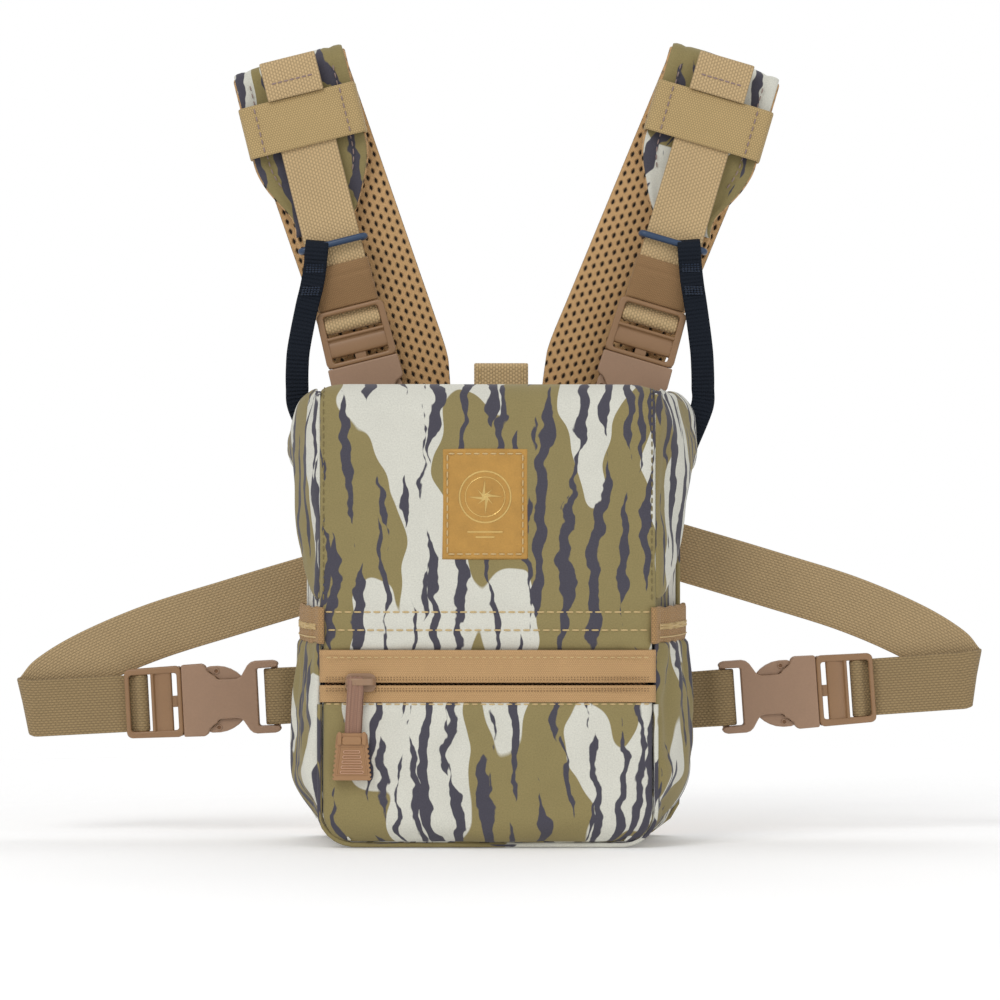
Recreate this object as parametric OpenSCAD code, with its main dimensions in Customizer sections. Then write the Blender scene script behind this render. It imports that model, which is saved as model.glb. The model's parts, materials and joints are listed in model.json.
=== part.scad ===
// Binocular chest pack with a forward-opening lid, a zipped front pocket, two elastic side
// pockets and a padded X harness on four side-release buckles.
// Millimetres, +Z up, +Y towards the wearer, origin at the middle of the base.

/* [Pack body] */
// Width of the front face
front_w = 140; // [130:1:150]
// Width across the back
back_w = 164; // [156:1:172]
// Depth from front face to back face
pack_d = 84; // [80:1:92]
// Height with the lid shut
pack_h = 197; // [190:1:204]
// Height of the lid hinge seam above the base
hinge_z = 101; // [98:1:104]
// Thickness of a padded side or front wall
wall_t = 3; // [2.5:0.5:3.5]
// How far the front pocket bulges forward
pocket_bulge = 3.4; // [1:0.2:3.4]
// How far the side pockets bulge outward
side_bulge = 5; // [2:1:6]

/* [Lid] */
// Thickness of the padded lid
lid_t = 5; // [4:0.5:5]
// Outer radius of the lid's front top edge
lid_r = 9; // [7:1:11]
// Thickness of the lid's side wings
wing_t = 3; // [2:0.5:3]
// Width of the leather patch
patch_w = 36.7; // [30:0.1:42]
// Height of the leather patch
patch_h = 47.3; // [40:0.1:52]

/* [Zip] */
// Height of the zip's centre line above the base
zip_z = 70; // [69:0.5:71]
// Distance of the slider from the pack's centre line, towards the left
slider_x = 58; // [50:1:62]
// Height at which the pull's moulded grip begins
grip_top_z = 49; // [46:1:50]

/* [Webbing and buckles] */
// Width of the main webbing
web_w = 25.4; // [24:0.2:25.6]
// Thickness of one webbing layer
web_t = 1.4; // [1.2:0.1:1.4]
// Half width of a buckle
buckle_hw = 16; // [15.8:0.1:17]
// Thickness of a buckle
buckle_t = 8; // [7.6:0.2:8.4]

/* [Harness lay] */
// Lean of the left shoulder strap's front half from upright, in degrees
left_lean = 14; // [12:0.5:16]
// Lean of the right shoulder strap's front half from upright, in degrees
right_lean = 16.5; // [14:0.5:18]
// Lean of the left strap's back half
left_back_lean = 19; // [17:0.5:21]
// Lean of the right strap's back half
right_back_lean = 22.5; // [20:0.5:24]
// Width of a shoulder pad
pad_w = 50; // [46:1:52]
// Thickness of a shoulder pad
pad_t = 5; // [4:0.5:5]

/* [Hidden] */
$fn = 48;

gap = 0.3;              // clearance between neighbouring sewn layers
front_y = -pack_d / 2;  // plane of the front face
back_y = pack_d / 2;    // plane of the back face
side_base = 4.2;        // height at which walls stand on the bottom panel
pad_y = back_y - 6;     // front of the padded back
lining_y = pad_y - wall_t - gap;    // front of the inner back wall
wall_y = front_y + 7;   // front of the inner front wall
strip_t = 4;            // thickness of the front strip and pocket edges
front_wall_top = 176;   // top edges of the inner front wall,
back_wall_top = 189;    // the inner back wall
side_top = 186;         // and the side panels
pocket_y = front_y + 8; // front edge of the side pockets
pocket_z = [6, 86.6];   // underside and top of a side pocket's cloth
elastic_z = [87, 102];  // lower and upper edge of its elastic
yoke_z = [90, 108, 156, 168];   // heights of the yoke's corners, upwards
yoke_hw = [30, 46, 58, 52];     // half widths at those heights
yoke_t = 2.5;
patch_at = [-1, 122.7]; // middle of the leather patch's lower edge, [x, z]
patch_t = 1.3;
lid_axis_y = front_y;   // the lid folds about its front face
lid_bead_r = 0.9;       // radius of the sewn ridge along the fold
wing_gap = 1;           // space between a lid wing and the side panel it covers
tape_t = 0.9;           // zip tape thickness
tape_y = front_y - 0.2; // front of the zip tapes
magnet = [20, 3, 2];    // closure magnet bars
magnet_x = 50;
magnet_y = back_y - 2.7;
back_top_z = pack_h - lid_t - 2;    // top edge of the padded back
pad_low_z = 2;                      // its lower edge
magnet_low_z = back_top_z - magnet[2] - 0.4;    // body magnets, just under the edge
magnet_high_z = pack_h - lid_t + 0.2;           // lid magnets, just above it
tab_x = 3.4;            // centre of the lid's pull tab
// Turn of a side panel, in degrees, from the front's width to the back's
slant = atan((back_w - front_w) / 2 / pack_d);

// Buckle sizes, along u (out of the socket's mouth) and w (across the webbing)
frame_len = 25.6;       // plug frame outside the socket
ladder_u = 18.2;        // centre of the round ladder bar
ladder_r = 1.6;
loop_r = ladder_r + 0.15;        // inside of the webbing loop round a bar
run_y = 0.4;            // depth at which webbing leaves the loop, behind the plug's outer bar
window_hw = 13;         // half width of the plug's window
mouth_len = 10.3;       // full-width block at the mouth
face_len = 33.4;        // socket face, mouth to web slot
socket_len = 43.5;
anchor_u = -41.5;       // centre of the socket's web bar
cavity_hw = 14.8;       // half width of the cavity the latches run in
cavity_t = 4.4;
latch_t = 4;
latch_pivot = [13.2, -1.3];      // w and u of a latch's flexing root
latch_root_r = 1.2;

// Depths of the harness layers behind the pack
waist_y = back_y + 1.7;          // centre plane of the waist buckles
shoulder_y = back_y + 4.5;       // centre plane of the shoulder buckles
strap_y = back_y;                // front of the webbing above the shoulder buckles
pad_front_y = back_y + 6.6;      // front of a pad's front half
pad_back_y = back_y + 15;        // front of a pad's back half
web_back_y = waist_y + 6.1;      // front of the waist webbing behind the pack
yoke_y = web_back_y + web_t + gap;

// Where each buckle's mouth sits, [x, z], and the lean of its u axis from upright
left_shoulder_at = [-58.2, 209.4];
right_shoulder_at = [64.4, 210.6];
left_waist_at = [-138, 58.7];
right_waist_at = [143.8, 63.1];
left_waist_lean = -93;
right_waist_lean = 86;

// Lengths along a strap, measured from the buckle's mouth
strap_top_u = 136.5;    // fold of the shoulder pad
pad_low_u = 60;         // lower end of the pad's front half
keeper_u = [99, 122];   // wide elastic keeper
sleeve_u = [28, 45];    // narrow elastic sleeve above the buckle
ring_u = 54;            // tether ring
waist_fold_u = 67;      // fold of the waist webbing
waist_edge = [88, 109]; // where its back layer passes the pack's edge, [x, z]
waist_end = [34, 122];  // and where it ends under the yoke

// Tether ring and tether
ring_rod = 2.4;         // thickness of the ring's rods
web_gap_y = 2.2;        // space between the ring's front bar and the webbing
tether_w = 10;
tether_t = 1;
tether_w_at = 7.3;      // outward offset of the tether along the ring's bar
eye_r = 2.5;            // bore of the sewn eye
eye_y = back_y + 8;
eye_z = 172;            // height of the eye
left_tether_lean = 5;
right_tether_lean = -4;

webbing_colour = [0.55, 0.45, 0.30];
plastic_colour = [0.50, 0.36, 0.26];
camo_colour = [0.56, 0.54, 0.42];
navy_colour = [0.08, 0.11, 0.17];
thread_colour = [0.62, 0.47, 0.30];

// Half width of the body at depth y, on the outer face of the side panels
function side_x(y) = front_w / 2 + (back_w - front_w) / 2 * (y - front_y) / pack_d;

// Points of a smooth bulge from a to b, pushed out by h along the direction out
function bulge(a, b, h, out, n = 16) =
    [for (i = [0 : n]) let (t = i / n) a + (b - a) * t + out * h * sin(180 * t)];

function reversed(list) = [for (i = [len(list) - 1 : -1 : 0]) list[i]];

// A box given by its lowest and highest corners
module block(lo, hi) {
    translate(lo) cube(hi - lo);
}

// Draws its children, and their mirror image for the right-hand side
module on_side(right) {
    mirror([right ? 1 : 0, 0, 0]) children();
}

// Puts a buckle's local frame in place: local Z is u, local X is w
module lean_at(at, lean, y) {
    translate([at[0], y, at[1]]) rotate([0, lean, 0]) children();
}

module at_left_shoulder() { lean_at(left_shoulder_at, -left_lean, shoulder_y) children(); }
module at_right_shoulder() { lean_at(right_shoulder_at, right_lean, shoulder_y) children(); }
module at_left_waist() { lean_at(left_waist_at, left_waist_lean, waist_y) children(); }
module at_right_waist() { lean_at(right_waist_at, right_waist_lean, waist_y) children(); }

// A round bar across the strap at height u, as tall as r and as long as width
module cross_bar(width, u, r) {
    translate([0, 0, u]) rotate([0, 90, 0]) cylinder(h = width, r = r, center = true);
}

// Extrudes a 2D profile drawn in [y, u] across the strap's width w
module across(width) {
    rotate([90, 0, 90]) translate([0, 0, -width / 2]) linear_extrude(width) children();
}

// ---------------------------------------------------------------- pack body

module bottom_panel() {
    cut = 9;    // corner chamfer
    y0 = front_y + 4.5;
    y1 = pad_y - gap;
    color(camo_colour)
        linear_extrude(side_base - 0.1)
            polygon([
                for (right = [-1, 1], end = right < 0 ? [0, 1] : [1, 0])
                    let (y = end == 0 ? y0 : y1, d = end == 0 ? 1 : -1, x = side_x(y) - 1)
                    each right * d > 0
                        ? [[right * x, y + d * cut], [right * (x - cut), y]]
                        : [[right * (x - cut), y], [right * x, y + d * cut]]]);
}

module back_pad() {
    cut = 12;   // corner cut
    hw = side_x(pad_y);
    high = back_top_z - pad_low_z;
    color([0.42, 0.34, 0.24])
        difference() {
            translate([0, back_y, pad_low_z])
                rotate([90, 0, 0])
                    linear_extrude(back_y - pad_y)
                        polygon([
                            [-hw, cut], [-hw + cut, 0], [hw - cut, 0], [hw, cut],
                            [hw, high - cut / 2], [hw - cut / 2, high],
                            [-hw + cut / 2, high], [-hw, high - cut / 2]]);
            for (x = [-magnet_x, magnet_x])
                magnet_pocket([x, magnet_y, magnet_low_z]);
        }
}

module back_wall() {
    x = side_x(lining_y) - 0.5;
    color([0.30, 0.28, 0.24])
        block([-x, lining_y, side_base], [x, pad_y - gap, back_wall_top]);
}

module front_wall() {
    x = side_x(wall_y) - 0.5;
    color([0.30, 0.28, 0.24])
        block([-x, wall_y, side_base], [x, wall_y + wall_t + 0.5, front_wall_top]);
}

module side_panel(right) {
    y0 = wall_y + wall_t + 0.6;
    y1 = lining_y - 0.1;
    color(camo_colour)
        on_side(right)
            translate([0, 0, side_base])
                linear_extrude(side_top - side_base)
                    polygon([
                        [-side_x(y0), y0], [-side_x(y1), y1],
                        [-side_x(y1) + wall_t, y1], [-side_x(y0) + wall_t, y0]]);
}

// The front face between the lid's hinge seam and the zip, with its side returns
module front_strip() {
    x = front_w / 2 + 1.5;
    color(camo_colour)
        difference() {
            block([-x, front_y, zip_z + 14], [x, wall_y - 0.2, hinge_z - lid_t / 2 - gap]);
            block([-x + strip_t, front_y + strip_t, 0], [x - strip_t, wall_y, hinge_z]);
        }
}

// The bulging outer wall of the front pocket, a shallow channel in plan
module pocket_panel() {
    x = front_w / 2 + 1.5;
    t = strip_t - 1;
    outer = bulge([-x, front_y], [x, front_y], pocket_bulge, [0, -1], 24);
    inner = bulge([-x + t, front_y + t], [x - t, front_y + t], pocket_bulge, [0, -1], 24);
    color(camo_colour)
        translate([0, 0, side_base])
            linear_extrude(zip_z - 8.5 - side_base)
                polygon(concat(
                    [[-x, wall_y - 0.2]], outer, [[x, wall_y - 0.2], [x - t, wall_y - 0.2]],
                    reversed(inner), [[-x + t, wall_y - 0.2]]));
}

// A pocket on the side, a bulging wall in plan closed by a floor
module side_pocket(right) {
    t = wall_t - 0.5;
    floor_t = 3;
    y0 = pocket_y;
    y1 = pad_y - gap;
    out = [-cos(slant), -sin(slant)];
    a = [-side_x(y0) - 0.4, y0];
    b = [-side_x(y1) - 0.4, y1];
    outer = bulge(a + out * t, b + out * t, side_bulge, out);
    inner = bulge(a, b, side_bulge, out);
    color(camo_colour)
        on_side(right) {
            translate([0, 0, pocket_z[0]])
                linear_extrude(pocket_z[1] - pocket_z[0])
                    polygon(concat(outer, reversed(inner)));
            translate([0, 0, pocket_z[0]])
                linear_extrude(floor_t)
                    polygon(outer);
        }
}

// The elastic that gathers the top edge of a side pocket
module pocket_elastic(right) {
    t = 2;
    y0 = pocket_y;
    y1 = pad_y - gap;
    out = [-cos(slant), -sin(slant)];
    a = [-side_x(y0) - 0.5, y0];
    b = [-side_x(y1) - 0.5, y1];
    color(thread_colour)
        on_side(right)
            translate([0, 0, elastic_z[0]])
                linear_extrude(elastic_z[1] - elastic_z[0])
                    polygon(concat(
                        bulge(a + out * t, b + out * t, side_bulge - 1, out),
                        reversed(bulge(a, b, side_bulge - 1, out))));
}

module magnet_pocket(at) {
    c = 0.2;    // clearance round the magnet
    translate(at - [magnet[0] / 2 + c, magnet[1] / 2 + c, c])
        cube(magnet + [2 * c, 2 * c, 3]);
}

module magnet_pair(z) {
    color([0.75, 0.76, 0.78])
        for (x = [-magnet_x, magnet_x])
            translate([x - magnet[0] / 2, magnet_y - magnet[1] / 2, z])
                cube(magnet);
}

module body_magnets() { magnet_pair(magnet_low_z); }

// The patch behind the pack where pads and waist webbing meet
module back_yoke() {
    half = [for (i = [0 : len(yoke_z) - 1]) [yoke_hw[i], yoke_z[i]]];
    color([0.40, 0.31, 0.21])
        translate([0, yoke_y + yoke_t, 0])
            rotate([90, 0, 0])
                linear_extrude(yoke_t)
                    polygon(concat(half, [for (p = reversed(half)) [-p[0], p[1]]]));
}

// ---------------------------------------------------------------- zip

module zip_tape(lo, hi) {
    x = front_w / 2 + 1;
    color(thread_colour)
        block([-x, tape_y, lo], [x, tape_y + tape_t, hi]);
}

module upper_zip_tape() { zip_tape(zip_z + 0.6, zip_z + 13.6); }
module lower_zip_tape() { zip_tape(zip_z - 8.2, zip_z - 0.6); }

// Two rows of coil elements behind the tapes, with a cord through each row
module zip_chain() {
    x = front_w / 2 - 4;
    pitch = 4;
    color([0.35, 0.27, 0.19])
        for (side = [-1, 1])
            translate([0, tape_y + tape_t + 1, zip_z + side * 1.7]) {
                rotate([0, 90, 0]) cylinder(h = 2 * x, r = 0.6, center = true);
                for (i = [0 : floor(2 * x / pitch) - 1])
                    translate([-x + (i + 0.5) * pitch, 0, 0])
                        cube([1.6, 1.6, 1.8], center = true);
            }
}

// Front plate, back plate, the wedge that joins them and the bridge for the pull
module zip_slider() {
    hw = 6.5;           // half width of both plates
    hh = 4;             // half their height
    front = tape_y - 0.2;
    rear = tape_y + tape_t + 2.1;
    bridge_y = front - 3.8;
    color(plastic_colour)
        translate([-slider_x, 0, zip_z]) {
            block([-hw, front - 1.4, -hh], [hw, front, hh]);
            block([-hw, rear, -hh], [hw, rear + 1.2, hh]);
            block([-1.5, front - 0.1, -0.4], [5, rear + 0.1, 0.4]);
            for (x = [1 - hw, hw - 1])
                block([x - 0.8, bridge_y - 1, -1.2], [x + 0.8, front - 1.3, 1.2]);
            translate([0, bridge_y, 0])
                rotate([0, 90, 0]) cylinder(h = 10.4, r = 1, center = true);
        }
}

// Flat cord looped over the slider's bridge and moulded into the grip
module zip_pull_cord() {
    bridge_y = tape_y - 4;
    outer = 2.3;        // outer radius of the loop round the bridge
    hang = zip_z - grip_top_z - 0.2;
    color([0.55, 0.40, 0.33])
        translate([-slider_x, bridge_y, zip_z])
            across(6.8)
                difference() {
                    union() {
                        circle(r = outer);
                        translate([-outer, -hang]) square([outer, hang]);
                    }
                    circle(r = 1.1);
                }
}

module zip_pull_grip() {
    top_hw = 4.9;
    low_hw = 8.5;
    len = 20;
    thick = 5;
    color([0.55, 0.36, 0.22])
        translate([-slider_x, tape_y - 3.5, grip_top_z])
            rotate([90, 0, 0])
                difference() {
                    linear_extrude(thick)
                        polygon([[-top_hw, 0], [top_hw, 0], [low_hw, -len + 1.5], [low_hw, -len],
                                 [-low_hw, -len], [-low_hw, -len + 1.5]]);
                    for (i = [0 : 4])
                        translate([-2.8 - 0.35 * i, -7 - 2.2 * i, thick - 0.6])
                            cube([5.6 + 0.7 * i, 1, 1]);
                }
}

// ---------------------------------------------------------------- lid

// Front and top of the lid in one piece, rolled to a round edge at the hinge seam
module lid_panel() {
    hw = side_x(front_y) + wing_gap + wing_t;
    top_z = pack_h - lid_t;
    rear_hw = side_x(back_y) + wing_gap + wing_t;
    bend_y = front_y + lid_r;
    color(camo_colour)
        difference() {
            union() {
                block([-hw, front_y, hinge_z], [hw, front_y + lid_t, pack_h - lid_r]);
                translate([0, front_y + lid_t / 2, hinge_z])
                    rotate([0, 90, 0]) cylinder(h = 2 * hw, r = lid_t / 2, center = true);
                translate([0, lid_axis_y, hinge_z])
                    rotate([0, 90, 0]) cylinder(h = 2 * hw - 1, r = lid_bead_r, center = true);
                intersection() {
                    translate([0, bend_y, pack_h - lid_r])
                        rotate([0, 90, 0])
                            difference() {
                                cylinder(h = 2 * hw, r = lid_r, center = true);
                                cylinder(h = 2 * hw + 2, r = lid_r - lid_t, center = true);
                            }
                    block([-hw, front_y, pack_h - lid_r], [hw, bend_y, pack_h]);
                }
                translate([0, 0, top_z])
                    linear_extrude(lid_t)
                        polygon([[-hw, bend_y], [-rear_hw, back_y], [rear_hw, back_y], [hw, bend_y]]);
            }
            for (x = [-magnet_x, magnet_x])
                translate([x, magnet_y, magnet_high_z + magnet[2]])
                    mirror([0, 0, 1]) magnet_pocket([0, 0, 0]);
        }
}

// A side wing hangs from the lid's edge and tapers to nothing at the hinge seam
module lid_wing(right) {
    len = (pack_d - lid_t - 0.7) / cos(slant);
    top = pack_h - lid_t - 0.1;
    y0 = front_y + lid_t + 0.6;
    color(camo_colour)
        on_side(right)
            translate([-side_x(y0) - wing_gap, y0, 0])
                rotate([90, 0, 90 + slant])
                    translate([0, 0, -wing_t])
                        linear_extrude(wing_t)
                            polygon([[0, top - 4], [4, top], [len, top], [len, 166],
                                     [len - 8, 160], [14, 110], [0, 106]]);
}

module leather_patch() {
    color([0.72, 0.52, 0.25])
        translate([patch_at[0] - patch_w / 2, front_y - 0.1 - patch_t, patch_at[1]])
            cube([patch_w, patch_t, patch_h]);
}

module lid_pull_tab() {
    hw = 12;
    color(webbing_colour)
        block([tab_x - hw, back_y + 0.1, pack_h - lid_t + 0.2], [tab_x + hw, back_y + 2.1, pack_h + 12]);
}

module lid_magnets() { magnet_pair(magnet_high_z); }

// ---------------------------------------------------------------- buckles

// Socket: two faces round a flat cavity, open at the mouth and at the latch wings
module buckle_socket() {
    half = [[0, 0], [buckle_hw, 0], [buckle_hw, -mouth_len], [11, -13.6], [8.8, -15.2],
            [8.8, -27], [10.4, -28], [buckle_hw - 0.6, -31.2], [buckle_hw - 0.6, -socket_len + 2],
            [buckle_hw - 2, -socket_len], [0, -socket_len]];
    color(plastic_colour)
        union() {
            difference() {
                rotate([90, 0, 0])
                    linear_extrude(buckle_t, center = true)
                        union() {
                            polygon(half);
                            mirror([1, 0]) polygon(half);
                        }
                block([-cavity_hw, -cavity_t / 2, -29], [cavity_hw, cavity_t / 2, 1]);
                block([-window_hw, -buckle_t, -socket_len - 1], [window_hw, buckle_t, -face_len]);
            }
            translate([0, 0, anchor_u])
                rotate([0, 90, 0]) cylinder(h = 2 * window_hw + 1, r = ladder_r, center = true);
        }
}

// Plug: frame with a round ladder bar, a wide cam bar and a centre guide
module buckle_plug() {
    bar_hw = buckle_hw - 1;
    color(plastic_colour) {
        for (side = [-1, 1])
            translate([side * (window_hw + buckle_hw) / 2, 0, frame_len / 2])
                cube([buckle_hw - window_hw, buckle_t - 1, frame_len - 0.2], center = true);
        block([-bar_hw, -buckle_t / 2 + 0.5, 0.1], [bar_hw, buckle_t / 2 - 0.5, 3]);
        block([-bar_hw, -buckle_t / 2 + 0.5, frame_len - 2.6], [bar_hw, -0.2, frame_len - 0.1]);
        block([-bar_hw, -2.6, 4.6], [bar_hw, 0.6, 13.8]);
        block([-bar_hw, -3.4, 12.5], [bar_hw, -2.4, 13.8]);
        translate([0, 0, ladder_u])
            rotate([0, 90, 0]) cylinder(h = 2 * bar_hw, r = ladder_r, center = true);
        block([-2.2, -1.8, -18], [2.2, 1.8, 4.7]);
    }
}

// One latch arm: a thin stem that ends in the wing pressed by finger and thumb
module buckle_latch(mirrored) {
    color(plastic_colour)
        mirror([mirrored ? 1 : 0, 0, 0])
            difference() {
                union() {
                    rotate([90, 0, 0])
                        linear_extrude(latch_t, center = true)
                            polygon([
                                [12.2, latch_pivot[1]], [14.2, latch_pivot[1]], [14.2, -10.6],
                                [14.5, -12.2], [14.5, -17], [14, -19.6], [12.9, -22.2],
                                [11.4, -24.6], [9.4, -26.8], [8.9, -26.4], [8.9, -14.4],
                                [12.2, -10.8]]);
                    translate([latch_pivot[0], 0, latch_pivot[1]])
                        rotate([90, 0, 0]) cylinder(h = latch_t, r = latch_root_r, center = true);
                }
                translate([12.2, -latch_t / 2 - 0.1, -15.2])
                    rotate([-90, 0, 0]) cylinder(h = 1.1, r = 1.2);
            }
}

// Short webbing looped round the socket's bar and sewn flat to the pack's back
module anchor_webbing(sewn_len, sewn_y) {
    outer = loop_r + web_t;
    side = outer - 0.05;
    w = web_w - 0.4;
    color(webbing_colour)
        difference() {
            union() {
                cross_bar(w, anchor_u, outer);
                across(w)
                    polygon([
                        [side, anchor_u], [side, anchor_u - 5],
                        [sewn_y + 2 * web_t, anchor_u - 9], [sewn_y + 2 * web_t, anchor_u - sewn_len],
                        [sewn_y, anchor_u - sewn_len], [sewn_y, anchor_u - 9],
                        [-side, anchor_u - 3], [-side, anchor_u]]);
            }
            cross_bar(w + 1, anchor_u, loop_r);
        }
}

// ---------------------------------------------------------------- shoulder straps

// Both layers of the webbing from the ladder bar up to the strap's tip
module shoulder_webbing() {
    front = strap_y - shoulder_y;
    thick = 2 * web_t;
    color(webbing_colour)
        difference() {
            union() {
                cross_bar(web_w, ladder_u, loop_r + web_t);
                across(web_w)
                    polygon([
                        [run_y, ladder_u], [run_y, 27], [front, 48], [front, strap_top_u - 2],
                        [front + thick, strap_top_u - 2], [front + thick, 48],
                        [run_y + thick - 0.15, 27], [run_y + thick - 0.15, ladder_u]]);
            }
            cross_bar(web_w + 1, ladder_u, loop_r);
        }
}

// A padded strap folded over at the top: front half, fold and back half, in world [y, z] depth
module shoulder_pad(right) {
    front = pad_front_y - shoulder_y;
    back = pad_back_y - shoulder_y;
    turn_r = (back + pad_t - front) / 2;
    lean = right ? right_lean : -left_lean;
    back_lean = right ? right_back_lean : -left_back_lean;
    low = 174;      // length of the back half, fold to yoke
    inset = 0.2;    // how much thinner the back half is than the fold
    color(camo_colour)
        union() {
            block([-pad_w / 2, front, strap_top_u - 45], [pad_w / 2, front + pad_t, strap_top_u - turn_r]);
            translate([0, front + pad_t, 0])
                rotate([90, 0, 0])
                    linear_extrude(pad_t)
                        polygon([
                            [-pad_w / 2, strap_top_u - 44], [-17, pad_low_u + 8], [-11, pad_low_u],
                            [11, pad_low_u], [17, pad_low_u + 8], [pad_w / 2, strap_top_u - 44]]);
            translate([0, 0, strap_top_u - turn_r])
                intersection() {
                    across(pad_w)
                        translate([front + turn_r, 0])
                            difference() {
                                circle(r = turn_r);
                                circle(r = turn_r - pad_t);
                            }
                    block([-pad_w, -pad_w, 0], [pad_w, pad_w, turn_r + 1]);
                }
            translate([0, 0, strap_top_u - turn_r])
                rotate([0, back_lean - lean, 0])
                    block([-pad_w / 2, back + inset, -low], [pad_w / 2, back + pad_t - inset, 1]);
        }
}

// Wide elastic band round the pad and the webbing's tail
module strap_keeper() {
    front = strap_y - shoulder_y;
    rear = pad_front_y - shoulder_y + pad_t;
    t = 1;
    room = 0.2;
    color(webbing_colour)
        difference() {
            block([-pad_w / 2 - room - t, front - room - t, keeper_u[0]],
                  [pad_w / 2 + room + t, rear + room + t, keeper_u[1]]);
            block([-pad_w / 2 - room, front - room, 0], [pad_w / 2 + room, rear + room, strap_top_u]);
        }
}

// Narrow sleeve round both webbing layers, just above the plug
module webbing_sleeve() {
    t = 1;
    room = 0.25;
    slope = (run_y + shoulder_y - strap_y) / 21;    // webbing depth lost per millimetre of height
    lo = run_y - (sleeve_u[0] - 27) * slope;
    hi = run_y - (sleeve_u[1] - 27) * slope;
    thick = 2 * web_t;
    color(webbing_colour)
        difference() {
            across(web_w + 2 * (room + t))
                polygon([
                    [lo - room - t, sleeve_u[0]], [hi - room - t, sleeve_u[1]],
                    [hi + thick + room + t, sleeve_u[1]], [lo + thick + room + t, sleeve_u[0]]]);
            across(web_w + 2 * room)
                polygon([
                    [lo - room + slope, sleeve_u[0] - 1], [hi - room - slope, sleeve_u[1] + 1],
                    [hi + thick + room - slope, sleeve_u[1] + 1],
                    [lo + thick + room + slope, sleeve_u[0] - 1]]);
        }
}

// Slim ring round both webbing layers; the tether hangs from its front bar
module tether_ring() {
    front = strap_y - shoulder_y - web_gap_y;
    rear = strap_y - shoulder_y + 2 * web_t + 0.6;
    color(navy_colour)
        translate([0, 0, ring_u])
            difference() {
                block([-15.6, front - ring_rod, -1.4], [15.6, rear + ring_rod, 1.4]);
                block([-13.2, front, -3], [13.2, rear, 3]);
            }
}

// Narrow webbing looped over the ring, ending in a sewn eye behind the pack's corner.
// It hangs nearly plumb, so it is drawn from the loop's place in the pack's frame.
module tether(x, top_z, lean) {
    bar_y = strap_y - web_gap_y - ring_rod / 2;
    in_y = ring_rod / 2 + 0.3;      // half depth of the space round the bar
    in_z = 3.6;                     // half its height
    low = top_z - eye_z;
    wall = 1.6;
    rear = bar_y + in_y + tether_t; // rear face, in front of the sleeve and the buckle
    thick = 2.6;
    clear = 44;                     // drop by which the tether is past the buckle's side
    color(navy_colour)
        translate([x, 0, top_z])
            rotate([0, lean, 0])
                difference() {
                    union() {
                        across(tether_w)
                            polygon([
                                [bar_y - in_y - tether_t, in_z + tether_t],
                                [rear, in_z + tether_t], [rear, -clear],
                                [eye_y + wall, -low + 20], [eye_y + wall, -low + eye_r],
                                [eye_y - wall, -low + eye_r], [eye_y - wall, -low + 20],
                                [rear - thick, -clear], [rear - thick, -in_z - 12],
                                [bar_y - in_y - tether_t, -in_z - 6]]);
                        translate([0, eye_y, 0]) cross_bar(tether_w, -low, eye_r + wall);
                    }
                    block([-tether_w, bar_y - in_y, -in_z], [tether_w, bar_y + in_y, in_z]);
                    translate([0, eye_y, 0]) cross_bar(tether_w + 1, -low, eye_r);
                }
}

// Where a point w across and u along a leaning strap lies, as [x, z]
function on_strap(at, lean, w, u) =
    [at[0] + u * sin(lean) + w * cos(lean), at[1] + u * cos(lean) - w * sin(lean)];

module left_tether() {
    top = on_strap(left_shoulder_at, -left_lean, -tether_w_at, ring_u);
    tether(top[0], top[1], left_tether_lean);
}

module right_tether() {
    top = on_strap(right_shoulder_at, right_lean, tether_w_at, ring_u);
    tether(top[0], top[1], right_tether_lean);
}

// ---------------------------------------------------------------- waist straps

// Extrudes a 2D shape drawn in [x, z] between two depths
module upright(y0, y1) {
    translate([0, y1, 0]) rotate([90, 0, 0]) linear_extrude(y1 - y0) children();
}

// A straight run of webbing in [x, z] from a to b, carried on by more past both ends
module run_2d(a, b, more = 0) {
    d = b - a;
    translate(a)
        rotate(atan2(d[1], d[0]))
            translate([-more, -web_w / 2])
                square([norm(d) + 2 * more, web_w]);
}

// The side of a crease at point p that lies towards -n, no deeper than depth
module behind_crease(p, n, depth) {
    translate(p)
        rotate(atan2(n[1], n[0]))
            translate([-depth, -2 * web_w])
                square([depth, 4 * web_w]);
}

// Waist webbing: a loop round the ladder bar, two layers out of the buckle, one layer on to a
// crease, and the back layer from the crease past the pack's edge to the yoke
module waist_webbing(at, lean, edge, end) {
    run_front = waist_y + run_y;
    double_w = web_w - 0.4;             // the doubled part is a shade narrower
    double_u = waist_fold_u - 8;        // where the doubled tail ends
    tail = on_strap(at, lean, 0, double_u - 1);
    crease = on_strap(at, lean, 0, waist_fold_u + 3.5);
    out = [sin(lean), cos(lean)];
    back = (edge - crease) / norm(edge - crease);
    n = (out - back) / norm(out - back);
    color(webbing_colour)
        union() {
            lean_at(at, lean, waist_y)
                difference() {
                    union() {
                        cross_bar(double_w, ladder_u, loop_r + web_t);
                        across(double_w)
                            polygon([
                                [run_y, ladder_u], [run_y, double_u],
                                [2 * web_t + 0.25, double_u], [2 * web_t + 0.25, ladder_u]]);
                    }
                    cross_bar(web_w + 1, ladder_u, loop_r);
                }
            upright(run_front, run_front + web_t)
                intersection() {
                    run_2d(tail, crease + 10 * out);
                    behind_crease(crease, n, 200);
                }
            upright(run_front, web_back_y + web_t)
                intersection() {
                    run_2d(tail, crease + 10 * out);
                    behind_crease(crease, n, web_t);
                }
            upright(web_back_y, web_back_y + web_t) {
                intersection() {
                    run_2d(crease, edge, 10);
                    behind_crease(crease, n, 200);
                }
                run_2d(edge, end, 1);
            }
        }
}

module left_waist_webbing() {
    waist_webbing(left_waist_at, left_waist_lean, [-waist_edge[0], waist_edge[1]],
                  [-waist_end[0], waist_end[1]]);
}

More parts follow.
